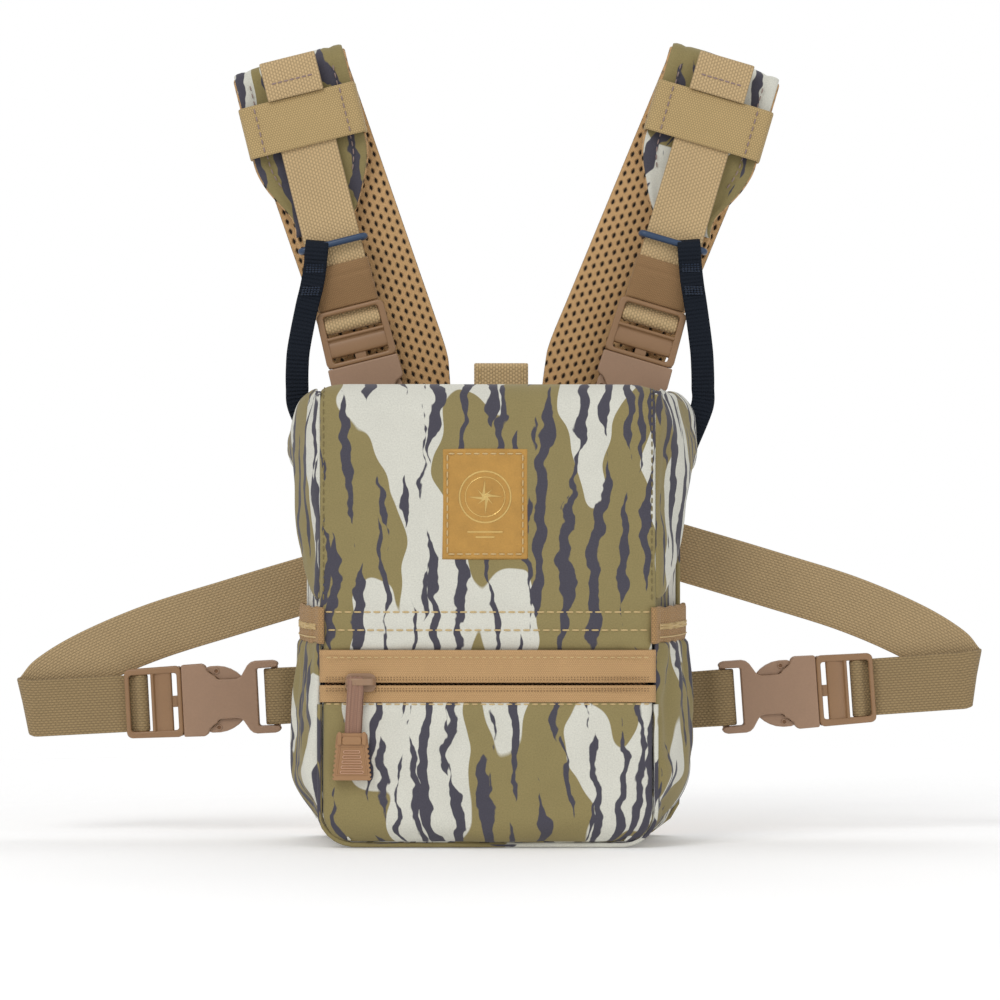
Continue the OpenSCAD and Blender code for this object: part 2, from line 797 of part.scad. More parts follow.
module right_waist_webbing() {
    waist_webbing(right_waist_at, right_waist_lean, [waist_edge[0] + 1, waist_edge[1]], waist_end);
}

// ---------------------------------------------------------------- the parts

back_pad();
back_wall();
side_panel(false);  // left_side_panel
side_panel(true);  // right_side_panel
bottom_panel();
front_wall();
front_strip();
pocket_panel();
upper_zip_tape();
lower_zip_tape();
zip_chain();
side_pocket(false);  // left_side_pocket
side_pocket(true);  // right_side_pocket
pocket_elastic(false);  // left_pocket_elastic
pocket_elastic(true);  // right_pocket_elastic
body_magnets();
back_yoke();

lid_panel();
lid_wing(false);  // lid_left_wing
lid_wing(true);  // lid_right_wing
leather_patch();
lid_pull_tab();
lid_magnets();

zip_slider();
zip_pull_cord();
zip_pull_grip();

at_left_waist() anchor_webbing(20, back_y + 0.3 - waist_y);  // left_waist_anchor
at_right_waist() anchor_webbing(24, back_y + 0.3 - waist_y);  // right_waist_anchor
at_left_shoulder() anchor_webbing(30, back_y + 0.3 - shoulder_y);  // left_shoulder_anchor
at_right_shoulder() anchor_webbing(30, back_y + 0.3 - shoulder_y);  // right_shoulder_anchor

at_left_waist() buckle_socket();  // left_waist_socket
at_right_waist() buckle_socket();  // right_waist_socket
at_left_shoulder() buckle_socket();  // left_shoulder_socket
at_right_shoulder() buckle_socket();  // right_shoulder_socket

at_left_waist() buckle_plug();  // left_waist_plug
at_right_waist() buckle_plug();  // right_waist_plug
at_left_shoulder() buckle_plug();  // left_shoulder_plug
at_right_shoulder() buckle_plug();  // right_shoulder_plug

at_left_waist() buckle_latch(false);  // left_waist_upper_latch
at_left_waist() buckle_latch(true);  // left_waist_lower_latch
at_right_waist() buckle_latch(true);  // right_waist_upper_latch
at_right_waist() buckle_latch(false);  // right_waist_lower_latch
at_left_shoulder() buckle_latch(true);  // left_shoulder_outer_latch
at_left_shoulder() buckle_latch(false);  // left_shoulder_inner_latch
at_right_shoulder() buckle_latch(false);  // right_shoulder_outer_latch
at_right_shoulder() buckle_latch(true);  // right_shoulder_inner_latch

left_waist_webbing();
right_waist_webbing();

at_left_shoulder() shoulder_webbing();  // left_shoulder_webbing
at_right_shoulder() shoulder_webbing();  // right_shoulder_webbing
at_left_shoulder() shoulder_pad(false);  // left_shoulder_pad
at_right_shoulder() shoulder_pad(true);  // right_shoulder_pad
at_left_shoulder() strap_keeper();  // left_strap_keeper
at_right_shoulder() strap_keeper();  // right_strap_keeper
at_left_shoulder() webbing_sleeve();  // left_webbing_sleeve
at_right_shoulder() webbing_sleeve();  // right_webbing_sleeve
at_left_shoulder() tether_ring();  // left_tether_ring
at_right_shoulder() tether_ring();  // right_tether_ring
left_tether();
right_tether();
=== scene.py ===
import json
import math

import bpy
import bmesh
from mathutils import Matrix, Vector, noise
from mathutils.bvhtree import BVHTree


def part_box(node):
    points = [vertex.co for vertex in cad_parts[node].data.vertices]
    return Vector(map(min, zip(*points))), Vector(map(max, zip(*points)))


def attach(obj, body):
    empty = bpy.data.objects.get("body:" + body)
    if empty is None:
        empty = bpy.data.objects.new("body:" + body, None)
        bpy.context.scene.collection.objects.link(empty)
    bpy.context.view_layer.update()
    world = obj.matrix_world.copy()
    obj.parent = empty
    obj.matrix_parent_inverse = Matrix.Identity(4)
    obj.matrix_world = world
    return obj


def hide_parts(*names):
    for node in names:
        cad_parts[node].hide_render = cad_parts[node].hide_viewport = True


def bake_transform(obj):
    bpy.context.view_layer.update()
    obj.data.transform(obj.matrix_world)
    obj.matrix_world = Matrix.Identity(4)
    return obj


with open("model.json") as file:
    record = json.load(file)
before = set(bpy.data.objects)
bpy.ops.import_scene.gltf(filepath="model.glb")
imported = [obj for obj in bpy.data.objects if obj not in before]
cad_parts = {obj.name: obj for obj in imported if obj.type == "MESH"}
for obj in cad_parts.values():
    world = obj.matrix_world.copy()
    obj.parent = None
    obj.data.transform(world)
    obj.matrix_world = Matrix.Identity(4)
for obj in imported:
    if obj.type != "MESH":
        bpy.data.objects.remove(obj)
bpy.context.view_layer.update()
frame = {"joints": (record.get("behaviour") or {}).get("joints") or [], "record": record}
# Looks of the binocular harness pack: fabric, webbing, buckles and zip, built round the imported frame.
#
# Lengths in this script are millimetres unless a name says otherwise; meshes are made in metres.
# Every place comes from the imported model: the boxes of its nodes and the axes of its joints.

MM = 0.001
OUT = Vector((0, -1, 0))        # away from the wearer
ROOT_DEPTH = 1.3                # how far inside the socket's mouth the latch arms hinge
WEB_HALF = 12.6                 # half the width of the harness webbing, one inch with its edges
WEB = 1.25                      # its thickness
JOINTS = {joint["name"]: joint for joint in frame["joints"]}


# ---------------------------------------------------------------- frame helpers


def box(node):
    """Lowest and highest corner of a CAD node, in millimetres."""
    low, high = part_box(node)
    return low / MM, high / MM


def smooth(t):
    t = max(0.0, min(1.0, t))
    return t * t * (3 - 2 * t)


def mix(a, b, t):
    return a + (b - a) * t


def hand_in(piece, body, slot, *nodes):
    """Hides the CAD nodes a piece stands for and parents the piece to the body it rides on; slot is not
    used.
    """
    if nodes:
        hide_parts(*nodes)
    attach(piece, body)


class Buckle:
    """Local frame of a buckle: u runs out of the socket's mouth along the strap, w across it.

    arms are its two latch arms, the first on the side of w that sign gives."""

    def __init__(self, key, arms, sign):
        self.key, self.arms, self.sign = key, arms, sign
        self.u = Vector(JOINTS[f"{key}_release"]["axis"]).normalized()
        self.w = Vector((self.u.z, 0, -self.u.x))
        roots = [Vector(JOINTS[f"{key}_{arm}_squeeze"]["pos_m"]) / MM for arm in arms]
        self.mouth = (roots[0] + roots[1]) / 2 + self.u * ROOT_DEPTH

    def at(self, w, y, u):
        """A point w across, y behind the buckle's middle plane and u along it."""
        return self.mouth + self.w * w + self.u * u + Vector((0, y, 0))


BUCKLES = {b.key: b for b in (Buckle("left_shoulder", ("outer", "inner"), -1),
                              Buckle("right_shoulder", ("outer", "inner"), 1),
                              Buckle("left_waist", ("upper", "lower"), 1),
                              Buckle("right_waist", ("upper", "lower"), -1))}


# ---------------------------------------------------------------- material nodes


class Shader:
    """Builds one node material step by step."""

    def __init__(self, name, roughness=0.8, specular=0.3):
        self.material = bpy.data.materials.new(name)
        self.material.use_nodes = True
        self.nodes = self.material.node_tree.nodes
        self.links = self.material.node_tree.links
        self.surface = self.nodes["Principled BSDF"]
        self.surface.inputs["Roughness"].default_value = roughness
        self.surface.inputs["Specular IOR Level"].default_value = specular

    def node(self, kind, *inputs, **settings):
        made = self.nodes.new(kind)
        for name, value in settings.items():
            setattr(made, name, value)
        for index, value in enumerate(inputs):
            if value is not None:
                self.feed(value, made.inputs[index])
        return made

    def feed(self, value, socket):
        if isinstance(value, bpy.types.NodeSocket):
            self.links.new(value, socket)
        else:
            socket.default_value = value

    def math(self, operation, a, b=0.0, c=None):
        made = self.node("ShaderNodeMath", a, b, c, operation=operation)
        return made.outputs[0]

    def times(self, a, b):
        return self.math("MULTIPLY", a, b)

    def plus(self, a, b):
        return self.math("ADD", a, b)

    def minus(self, a, b):
        return self.math("SUBTRACT", a, b)

    def over(self, a, b):
        return self.math("DIVIDE", a, b)

    def uv(self):
        split = self.node("ShaderNodeSeparateXYZ", self.node("ShaderNodeUVMap").outputs[0])
        return split.outputs[0], split.outputs[1]

    def point(self):
        return self.node("ShaderNodeTexCoord").outputs["Object"]

    def combine(self, x, y, z=0.0):
        return self.node("ShaderNodeCombineXYZ", x, y, z).outputs[0]

    def noise(self, vector, scale=1.0, detail=2.0, rough=0.5):
        made = self.node("ShaderNodeTexNoise", vector, None, scale, detail, rough)
        return made.outputs["Fac"]

    def ranged(self, value, low, high, to_low=0.0, to_high=1.0):
        """to_low up to low, to_high from high on, and evenly between them."""
        return self.node("ShaderNodeMapRange", value, low, high, to_low, to_high).outputs[0]

    def step(self, value, edge, width):
        """0 below edge, 1 above it, over the given width."""
        return self.ranged(value, edge - width / 2, edge + width / 2)

    def mix(self, factor, a, b, blend="MIX"):
        made = self.node("ShaderNodeMix", data_type="RGBA", blend_type=blend)
        self.feed(factor, made.inputs[0])
        for value, socket in ((a, made.inputs[6]), (b, made.inputs[7])):
            if not isinstance(value, bpy.types.NodeSocket):
                value = (*value, 1.0)
            self.feed(value, socket)
        return made.outputs[2]

    def shade(self, colour, amount, low=0.8, high=1.12):
        """Colour times a factor that runs from low to high as amount runs from 0 to 1."""
        grey = self.ranged(amount, 0.0, 1.0, low, high)
        return self.mix(1.0, colour, self.combine(grey, grey, grey), "MULTIPLY")

    def bump(self, height, distance, strength=1.0, under=None):
        made = self.node("ShaderNodeBump")
        made.inputs["Strength"].default_value = strength
        made.inputs["Distance"].default_value = distance * MM
        self.feed(height, made.inputs["Height"])
        if under is not None:
            self.feed(under, made.inputs["Normal"])
        return made.outputs[0]

    def done(self, colour, normal=None, roughness=None, sheen=0.0):
        if not isinstance(colour, bpy.types.NodeSocket):
            colour = (*colour, 1.0)
        self.feed(colour, self.surface.inputs["Base Color"])
        if normal is not None:
            self.feed(normal, self.surface.inputs["Normal"])
        if roughness is not None:
            self.feed(roughness, self.surface.inputs["Roughness"])
        self.surface.inputs["Sheen Weight"].default_value = sheen
        return self.material


def srgb(red, green, blue):
    """Linear colour of an 8-bit display colour."""
    return tuple(((c / 255 + 0.055) / 1.055) ** 2.4 if c > 10 else c / 3294.6
                 for c in (red, green, blue))


LIGHT = srgb(212, 211, 200)
OLIVE = srgb(143, 130, 88)
CHARCOAL = srgb(76, 74, 84)
TAN = srgb(200, 172, 128)
MESH_BROWN = srgb(205, 165, 116)
TAPE = srgb(192, 154, 108)
THREAD = srgb(205, 178, 126)
PLASTIC = srgb(157, 126, 102)
GRIP = srgb(160, 121, 84)
CORD = srgb(150, 116, 98)
LEATHER = srgb(186, 141, 70)
NAVY = srgb(5, 18, 33)
RING_NAVY = srgb(50, 70, 98)


def camo_material():
    """Bark-like print: pale ground, olive patches, charcoal streaks, on a heathered matte weave."""
    s = Shader("camo", roughness=0.88, specular=0.18)
    u, v = s.uv()

    def field(across, along, seed, detail=0.0, x=u):
        """Noise stretched by so many swings a metre across and along the cloth."""
        return s.noise(s.combine(s.times(x, across), s.times(v, along), seed), 1.0, detail)

    def pushed(x, value, amount):
        return s.plus(x, s.times(s.minus(value, 0.5), amount))

    wide = pushed(u, field(42.0, 30.0, 2.0, 1.0), 0.026)
    olive = s.step(field(36.0, 13.0, 3.3, 0.0, wide), 0.51, 0.004)
    wander = pushed(pushed(u, field(22.0, 11.0, 5.0, 0.5), 0.024), field(95.0, 105.0, 8.0, 0.5), 0.0068)
    edge = s.times(s.minus(field(300.0, 190.0, 14.0, 1.0), 0.5), 0.20)

    def streaks(pitch, seed, thick, cut):
        """One wandering line a column, pitch metres apart, broken and tapered by its own noise."""
        column = s.plus(s.over(wander, pitch), seed)
        number = s.math("FLOOR", column)
        own = s.times(number, 5.37)
        lean = s.noise(s.combine(own, s.times(v, 30.0), seed), 1.0, 1.0)
        off = s.minus(s.minus(column, number), 0.5)
        off = s.math("ABSOLUTE", s.plus(off, s.times(s.minus(lean, 0.5), 0.7)))
        life = s.noise(s.combine(own, s.times(v, 24.0), seed + 3.0), 1.0, 0.8)
        width = s.ranged(life, cut, cut + 0.16, -0.06, thick)
        return s.step(s.minus(s.plus(width, edge), off), 0.0, 0.025)

    dark = s.math("MAXIMUM", streaks(0.0118, 7.3, 0.19, 0.37), streaks(0.0155, 31.6, 0.10, 0.41))
    colour = s.mix(olive, LIGHT, OLIVE)
    colour = s.mix(dark, colour, CHARCOAL)
    heather = s.noise(s.combine(u, v), 1500.0, 2.0, 0.8)
    cloud = s.noise(s.combine(u, v), 60.0, 3.0)
    colour = s.shade(colour, heather, 0.74, 1.24)
    colour = s.shade(colour, cloud, 0.94, 1.06)
    soft = s.bump(cloud, 0.4, 0.25)
    return s.done(colour, s.bump(heather, 0.12, 0.5, soft), sheen=0.12)


def woven_material(name, colour, across, along, depth=0.35, dark=0.55, plain=0.0, sheen=0.12):
    """Webbing weave: picks of a pitch across and along, alternate columns half a pitch out.

    depth is the bump's height, dark the shade between the picks, and plain how much the columns
    outweigh the picks."""
    s = Shader(name, roughness=0.72, specular=0.28)
    u, v = s.uv()
    column = s.over(u, across * MM)
    phase = s.times(s.math("FLOOR", column), math.pi)
    wave = s.math("SINE", s.plus(s.times(v, 2 * math.pi / (along * MM)), phase))
    pick = s.math("POWER", s.plus(s.times(wave, 0.5), 0.5), 0.5)
    ridge = s.math("ABSOLUTE", s.math("SINE", s.times(column, math.pi)))
    ridge = s.math("POWER", ridge, 0.45)
    height = s.times(s.plus(s.times(pick, 1 - plain), plain), ridge)
    fibre = s.noise(s.combine(s.times(u, 2.5), v), 1900.0, 2.0, 0.7)
    worn = s.noise(s.combine(u, v), 45.0, 3.0)
    # painted shade between the picks and painted highlight on their tops
    tone = s.shade(colour, height, dark, 1.12)
    tone = s.shade(tone, fibre, 0.84, 1.16)
    tone = s.shade(tone, worn, 0.92, 1.08)
    normal = s.bump(s.plus(height, s.times(fibre, 0.3)), depth, 0.8)
    return s.done(tone, normal, sheen=sheen)


def plastic_material(name, colour, speckle=0.10, roughness=0.42):
    """Moulded acetal: satin, finely speckled, a little uneven in gloss."""
    s = Shader(name, roughness=roughness, specular=0.45)
    p = s.point()
    grain = s.noise(p, 1500.0, 2.0, 0.8)
    flow = s.noise(p, 90.0, 3.0)
    tone = s.shade(colour, grain, 1 - speckle, 1 + speckle)
    tone = s.shade(tone, flow, 0.94, 1.06)
    gloss = s.ranged(flow, 0.0, 1.0, roughness - 0.08, roughness + 0.10)
    return s.done(tone, s.bump(grain, 0.05, 0.5), gloss)


def leather_material():
    s = Shader("leather", roughness=0.55, specular=0.35)
    u, v = s.uv()
    place = s.combine(u, v)
    cells = s.node("ShaderNodeTexVoronoi", place, None, 1100.0)
    cloud = s.noise(place, 120.0, 4.0, 0.6)
    pores = s.noise(place, 1500.0, 2.0)
    tone = s.shade(LEATHER, cloud, 0.72, 1.2)
    tone = s.shade(tone, pores, 0.88, 1.12)
    creases = s.bump(cells.outputs["Distance"], 0.10, 0.5)
    return s.done(tone, s.bump(cloud, 0.15, 0.4, creases))


def worn_material(name, colour, scale, detail, shades, dents, roughness, metallic=0.0, sheen=0.0):
    """One colour mottled by one noise; shades are its darkest and lightest, dents its bump."""
    s = Shader(name, roughness=roughness)
    s.surface.inputs["Metallic"].default_value = metallic
    wear = s.noise(s.point(), scale, detail)
    return s.done(s.shade(colour, wear, *shades), s.bump(wear, *dents), sheen=sheen)


def thread_material(name, colour):
    return worn_material(name, colour, 2200.0, 2.0, (0.72, 1.2), (0.08, 0.6), 0.6, sheen=0.2)


def lining_material():
    """Brushed tricot lining."""
    s = Shader("lining", roughness=0.92, specular=0.12)
    p = s.point()
    nap = s.noise(p, 1300.0, 3.0, 0.7)
    rub = s.noise(p, 40.0, 3.0)
    tone = s.shade(srgb(104, 94, 76), nap, 0.75, 1.2)
    return s.done(s.shade(tone, rub, 0.88, 1.1), s.bump(nap, 0.2, 0.6), sheen=0.35)


def mesh_material():
    """Spacer mesh: lens-shaped holes in staggered columns, filled with a dark brown as painted shade,
    with painted shade round their rims.
    """
    s = Shader("open_mesh", roughness=0.8, specular=0.2)
    u, v = s.uv()
    across, along = 3.1 * MM, 4.6 * MM              # pitch of the holes
    column = s.over(u, across)
    number = s.math("FLOOR", column)
    odd = s.times(s.math("MODULO", s.plus(number, 1000.0), 2.0), 0.5)
    row = s.plus(s.over(v, along), odd)
    local_u = s.minus(s.minus(column, number), 0.5)
    local_v = s.minus(s.minus(row, s.math("FLOOR", row)), 0.5)
    reach = s.times(s.math("POWER", s.math("ABSOLUTE", local_v), 2.0), 11.0)
    spread = s.plus(s.math("ABSOLUTE", s.times(local_u, 3.9)), reach)
    spread = s.plus(spread, s.times(s.noise(s.combine(u, v), 700.0, 1.0), 0.25))
    solid = s.step(spread, 0.86, 0.22)
    rounded = s.step(spread, 1.1, 0.9)
    yarn = s.math("SINE", s.times(s.plus(u, s.times(v, 0.6)), 9000.0))
    fibre = s.noise(s.combine(u, v), 2400.0, 2.0, 0.7)
    tone = s.shade(MESH_BROWN, yarn, 0.82, 1.08)
    tone = s.shade(tone, fibre, 0.75, 1.2)
    # painted shade: the yarn darkens towards each hole, with a slight painted highlight between the
    # holes
    tone = s.shade(tone, rounded, 0.68, 1.1)
    # painted shade: the holes are filled with a dark brown
    tone = s.mix(solid, srgb(34, 25, 17), tone)
    height = s.plus(rounded, s.times(yarn, 0.06))
    return s.done(tone, s.bump(height, 1.1, 0.9), sheen=0.1)


MATERIALS = {
    "camo": camo_material(),
    "webbing": woven_material("webbing", TAN, 1.25, 1.7, 0.35, 0.6, 0.25),
    "belt": woven_material("belt_webbing", srgb(152, 129, 92), 1.15, 2.0, 0.35, 0.58, 0.4),
    # lighter copy of the belt webbing: painted light on the far run behind the pack
    "belt_painted_light": woven_material("belt_webbing_painted_light", srgb(176, 151, 112), 1.15, 2.0, 0.35, 0.6, 0.4),
    "elastic": woven_material("elastic", srgb(190, 163, 114), 1.0, 1.15, 0.2, 0.66),
    "sleeve": woven_material("sleeve_elastic", srgb(152, 118, 80), 0.8, 0.9, 0.14, 0.78),
    "binding": woven_material("binding", srgb(172, 136, 92), 0.9, 1.1, 0.2, 0.66),
    "tape": woven_material("zip_tape", TAPE, 0.75, 0.8, 0.16, 0.78),
    "cord": woven_material("pull_cord", CORD, 1.5, 0.8, 0.1, 0.72, 0.6),
    "navy": woven_material("navy_webbing", NAVY, 0.8, 1.6, 0.2, 0.5, 0.4, 0.02),
    "plastic": plastic_material("buckle_plastic", PLASTIC),
    "frame": plastic_material("buckle_frame_plastic", srgb(147, 113, 81), 0.06, 0.36),
    "slider": plastic_material("slider_plastic", srgb(153, 122, 96), 0.06, 0.3),
    "grip": plastic_material("grip_plastic", GRIP, 0.05, 0.36),
    # a much lighter copy of the grip plastic: painted highlight for the ribs' edges
    "grip_painted_highlight": plastic_material("grip_painted_highlight", srgb(205, 165, 138), 0.05, 0.45),
    "ring": plastic_material("ring_plastic", RING_NAVY, 0.06, 0.32),
    "coil": plastic_material("zip_coil", srgb(120, 84, 52), 0.06, 0.4),
    "leather": leather_material(),
    "foil": worn_material("gold_foil", srgb(240, 206, 132), 900.0, 3.0, (0.8, 1.15), (0.05, 0.5),
                          0.3, metallic=1.0),
    "thread": thread_material("khaki_thread", THREAD),
    "olive_thread": thread_material("olive_thread", srgb(122, 108, 66)),
    "mauve_thread": thread_material("mauve_thread", srgb(150, 128, 122)),
    "navy_thread": thread_material("navy_thread", srgb(24, 40, 62)),
    "lining": lining_material(),
    "open_mesh": mesh_material(),
    "metal": worn_material("nickel", srgb(205, 206, 208), 400.0, 4.0, (0.82, 1.05), (0.03, 0.4),
                           0.28, metallic=1.0),
}


# ---------------------------------------------------------------- mesh helpers


def placed(name, mesh, material):
    """A smooth-shaded object in the scene."""
    mesh.polygons.foreach_set("use_smooth", [True] * len(mesh.polygons))
    mesh.materials.append(MATERIALS[material])
    obj = bpy.data.objects.new(name, mesh)
    bpy.context.scene.collection.objects.link(obj)
    return obj


def make(name, points, faces, material, uvs=None):
    """A closed piece from points in millimetres; uvs holds one (u, v) in metres a point."""
    mesh = bpy.data.meshes.new(name)
    mesh.from_pydata([p * MM for p in points], [], faces)
    if uvs:
        layer = mesh.uv_layers.new(name="UVMap")
        for loop in mesh.loops:
            layer.data[loop.index].uv = uvs[loop.vertex_index]
    build = bmesh.new()
    build.from_mesh(mesh)
    bmesh.ops.recalc_face_normals(build, faces=build.faces)
    build.to_mesh(mesh)
    build.free()
    return placed(name, mesh, material)


def heading(points, i, loop=False):
    """Unit vector along a list of points at its point i."""
    count = len(points)
    after = points[(i + 1) % count if loop else min(i + 1, count - 1)]
    return (after - points[i - 1 if loop or i else 0]).normalized()


def ring_faces(rings, around, loop=False, base=0):
    """Quads between rings of points, around points to a ring."""
    faces = []
    for i in range(rings if loop else rings - 1):
        low, high = base + i * around, base + (i + 1) % rings * around
        for k in range(around):
            m = (k + 1) % around
            faces.append((low + k, low + m, high + m, high + k))
    return faces


def spline(points, t):
    """Catmull-Rom value through points at t, where whole numbers are the points themselves."""
    i = max(0, min(len(points) - 2, int(t)))
    f = t - i
    p1, p2 = points[i], points[i + 1]
    p0 = points[i - 1] if i > 0 else p1 * 2 - p2
    p3 = points[i + 2] if i + 2 < len(points) else p2 * 2 - p1
    return (p1 * 2 + (p2 - p0) * f + (p0 * 2 - p1 * 5 + p2 * 4 - p3) * f * f
            + (p1 * 3 - p0 - p2 * 3 + p3) * f * f * f) / 2


def dense(stations, gap):
    """Stations (centre, half width vector) resampled about gap apart along a smooth curve."""
    centres = [s[0] for s in stations]
    halves = [s[1] for s in stations]
    out = []
    for i in range(len(stations) - 1):
        pieces = max(1, round((centres[i + 1] - centres[i]).length / gap))
        spots = [i + k / pieces for k in range(pieces)]
        out += [(spline(centres, spot), spline(halves, spot)) for spot in spots]
    return out + [stations[-1]]


ROUND_EDGE = ((1.0, 0.0), (0.985, 0.34), (0.94, 0.5))


def section(columns):
    """Closed outline (a, b) of a flat strip: a across from -1 to 1, b through from -0.5 to 0.5."""
    top = [(-a, b) for a, b in ROUND_EDGE]
    inner = ROUND_EDGE[-1][0]
    top += [(mix(-inner, inner, k / columns), 0.5) for k in range(1, columns)]
    top += [(a, b) for a, b in reversed(ROUND_EDGE)]
    return top + [(a, -b) for a, b in reversed(top[1:-1])]


def strip(name, stations, thick, material, gap=1.5, columns=6, relief=None, loop=False, offset=(0, 0)):
    """Webbing: a flat section swept along stations (centre, half width vector).

    relief(a, v) adds height to the outer face, v being the length along the strip."""
    path = dense(stations + [stations[0]] if loop else stations, gap)
    if loop:
        path = path[:-1]
    outline = section(columns)
    count, around = len(path), len(outline)
    centres = [centre for centre, _ in path]
    points, uvs, length = [], [], 0.0
    for i, (centre, half) in enumerate(path):
        normal = half.cross(heading(centres, i, loop)).normalized()
        if i:
            length += (centre - centres[i - 1]).length
        for a, b in outline:
            height = b * thick + (relief(a, length) if relief and b else 0.0) * (1 if b > 0 else -1)
            points.append(centre + half * a + normal * height)
            uvs.append(((a * half.length + offset[0]) * MM, (length + offset[1]) * MM))
    faces = ring_faces(count, around, loop)
    if not loop:
        half_way = around // 2
        for i in (0, count - 1):
            base = i * around
            for k in range(half_way - 1):
                a, b = base + k, base + k + 1
                c, d = base + (around - k - 1) % around, base + (around - k) % around
                faces.append((a, b, c, d) if k else (a, b, c))
            faces.append((base + half_way - 1, base + half_way, base + half_way + 1))
    return make(name, points, faces, material, uvs)


def slab(name, surface, width, height, thick, material, crown=0.0, soft=3.0, cell=4.0, offset=(0, 0),
         relief=None, back_crown=0.0):
    """Padded panel sewn shut along its edge: surface(s, t) gives its middle, s and t from 0 to 1.

    Both faces close to one seam over the soft distance, and crown swells the middle. Normal faces
    are at +thick/2 on the side of ds x dt."""
    columns, rows = max(4, round(width / cell)), max(4, round(height / cell))
    step = 1e-3
    points, uvs, index = [], [], {}
    for side in (1, -1):
        for j in range(rows + 1):
            for i in range(columns + 1):
                s, t = i / columns, j / rows
                rim = i in (0, columns) or j in (0, rows)
                if side < 0 and rim:
                    index[side, i, j] = index[1, i, j]
                    continue
                centre = surface(s, t)
                ds = surface(min(1, s + step), t) - surface(max(0, s - step), t)
                dt = surface(s, min(1, t + step)) - surface(s, max(0, t - step))
                normal = ds.cross(dt).normalized()
                reach = min(min(s, 1 - s) * width, min(t, 1 - t) * height) / soft
                close = math.sqrt(max(0.0, 1 - (1 - min(1.0, reach)) ** 2))
                dome = (math.sin(math.pi * s) * math.sin(math.pi * t)) ** 0.6
                swell = (crown if side > 0 else back_crown) * dome
                extra = relief(s, t) * close if relief and side > 0 else 0.0
                index[side, i, j] = len(points)
                points.append(centre + normal * side * (thick / 2 * close + swell) + normal * extra)
                uvs.append(((s * width + offset[0]) * MM, (t * height + offset[1]) * MM))
    faces = []
    for side in (1, -1):
        for j in range(rows):
            for i in range(columns):
                quad = [index[side, i, j], index[side, i + 1, j],
                        index[side, i + 1, j + 1], index[side, i, j + 1]]
                faces.append(tuple(quad if side > 0 else reversed(quad)))
    obj = make(name, points, faces, material, uvs)
    rims = [index[1, i, j] for j in range(rows + 1) for i in range(columns + 1)
            if i in (0, columns) or j in (0, rows)]
    seams = obj.vertex_groups.new(name="seams")
    seams.add(rims, 1.0, "REPLACE")
    return obj


def puff(obj, pressure=3.0, cap=2.5, grow=0.0, frames=18):
    """Cloth simulation with the seams pinned, its result written back to the mesh.

    cap is the furthest a point may move, in millimetres. grow is how much larger than its frame the
    fabric is, which makes it wrinkle."""
    scene = bpy.context.scene
    cloth = obj.modifiers.new("cloth", "CLOTH")
    cloth.settings.quality = 6
    cloth.settings.vertex_group_mass = "seams"
    cloth.settings.use_pressure = True
    cloth.settings.uniform_pressure_force = pressure
    cloth.settings.shrink_min = -grow
    cloth.settings.tension_stiffness = 30
    cloth.settings.compression_stiffness = 30
    cloth.settings.bending_stiffness = 2.0
    cloth.settings.effector_weights.gravity = 0
    cloth.collision_settings.use_collision = False
    cloth.point_cache.frame_start = 1
    cloth.point_cache.frame_end = frames
    for number in range(1, frames + 1):
        scene.frame_set(number)
    shaped = obj.evaluated_get(bpy.context.evaluated_depsgraph_get())
    moved = [v.co.copy() for v in shaped.data.vertices]
    obj.modifiers.remove(cloth)
    scene.frame_set(1)
    for vertex, place in zip(obj.data.vertices, moved):
        shift = place - vertex.co
        if shift.length > cap * MM:
            shift = shift.normalized() * cap * MM
        vertex.co += shift
    return refine(obj)


def refine(obj):
    """One level of subdivision, kept as a modifier."""
    level = obj.modifiers.new("soften", "SUBSURF")
    level.levels = 1
    level.render_levels = 1
    return obj


def tube(name, path, radius, material, sides=8, loop=False):
    """A round rod along a list of points."""
    count = len(path)
    points, uvs, length = [], [], 0.0
    guide = Vector((0.21, 0.35, 0.91))
    for i, centre in enumerate(path):
        tangent = heading(path, i, loop)
        across = tangent.cross(guide).normalized()
        guide = across.cross(tangent).normalized()
        if i:
            length += (centre - path[i - 1]).length
        for k in range(sides):
            turn = 2 * math.pi * k / sides
            points.append(centre + (across * math.cos(turn) + guide * math.sin(turn)) * radius)
            uvs.append((k / sides * radius * 6 * MM, length * MM))
    faces = ring_faces(count, sides, loop)
    if not loop:
        faces.append(tuple(range(sides)))
        faces.append(tuple((count - 1) * sides + k for k in range(sides)))
    return make(name, points, faces, material, uvs)


def walk(line, total, distance):
    """Point and normal at a distance along a line, total being the running length at its points."""
    distance = max(0.0, min(total[-1], distance))
    k = max(i for i, d in enumerate(total) if d <= distance + 1e-9)
    k = min(k, len(line) - 2)
    f = (distance - total[k]) / max(1e-9, total[k + 1] - total[k])
    return line[k][0].lerp(line[k + 1][0], f), line[k][1].lerp(line[k + 1][1], f)


SIDES = 6                       # of a stitch's section
STITCH = ((-0.5, 0.0, -0.9), (-0.42, 0.75, -0.2), (-0.2, 1.0, 0.25), (0.2, 1.0, 0.25),
          (0.42, 0.75, -0.2), (0.5, 0.0, -0.9))     # place along, thickness and rise, as shares


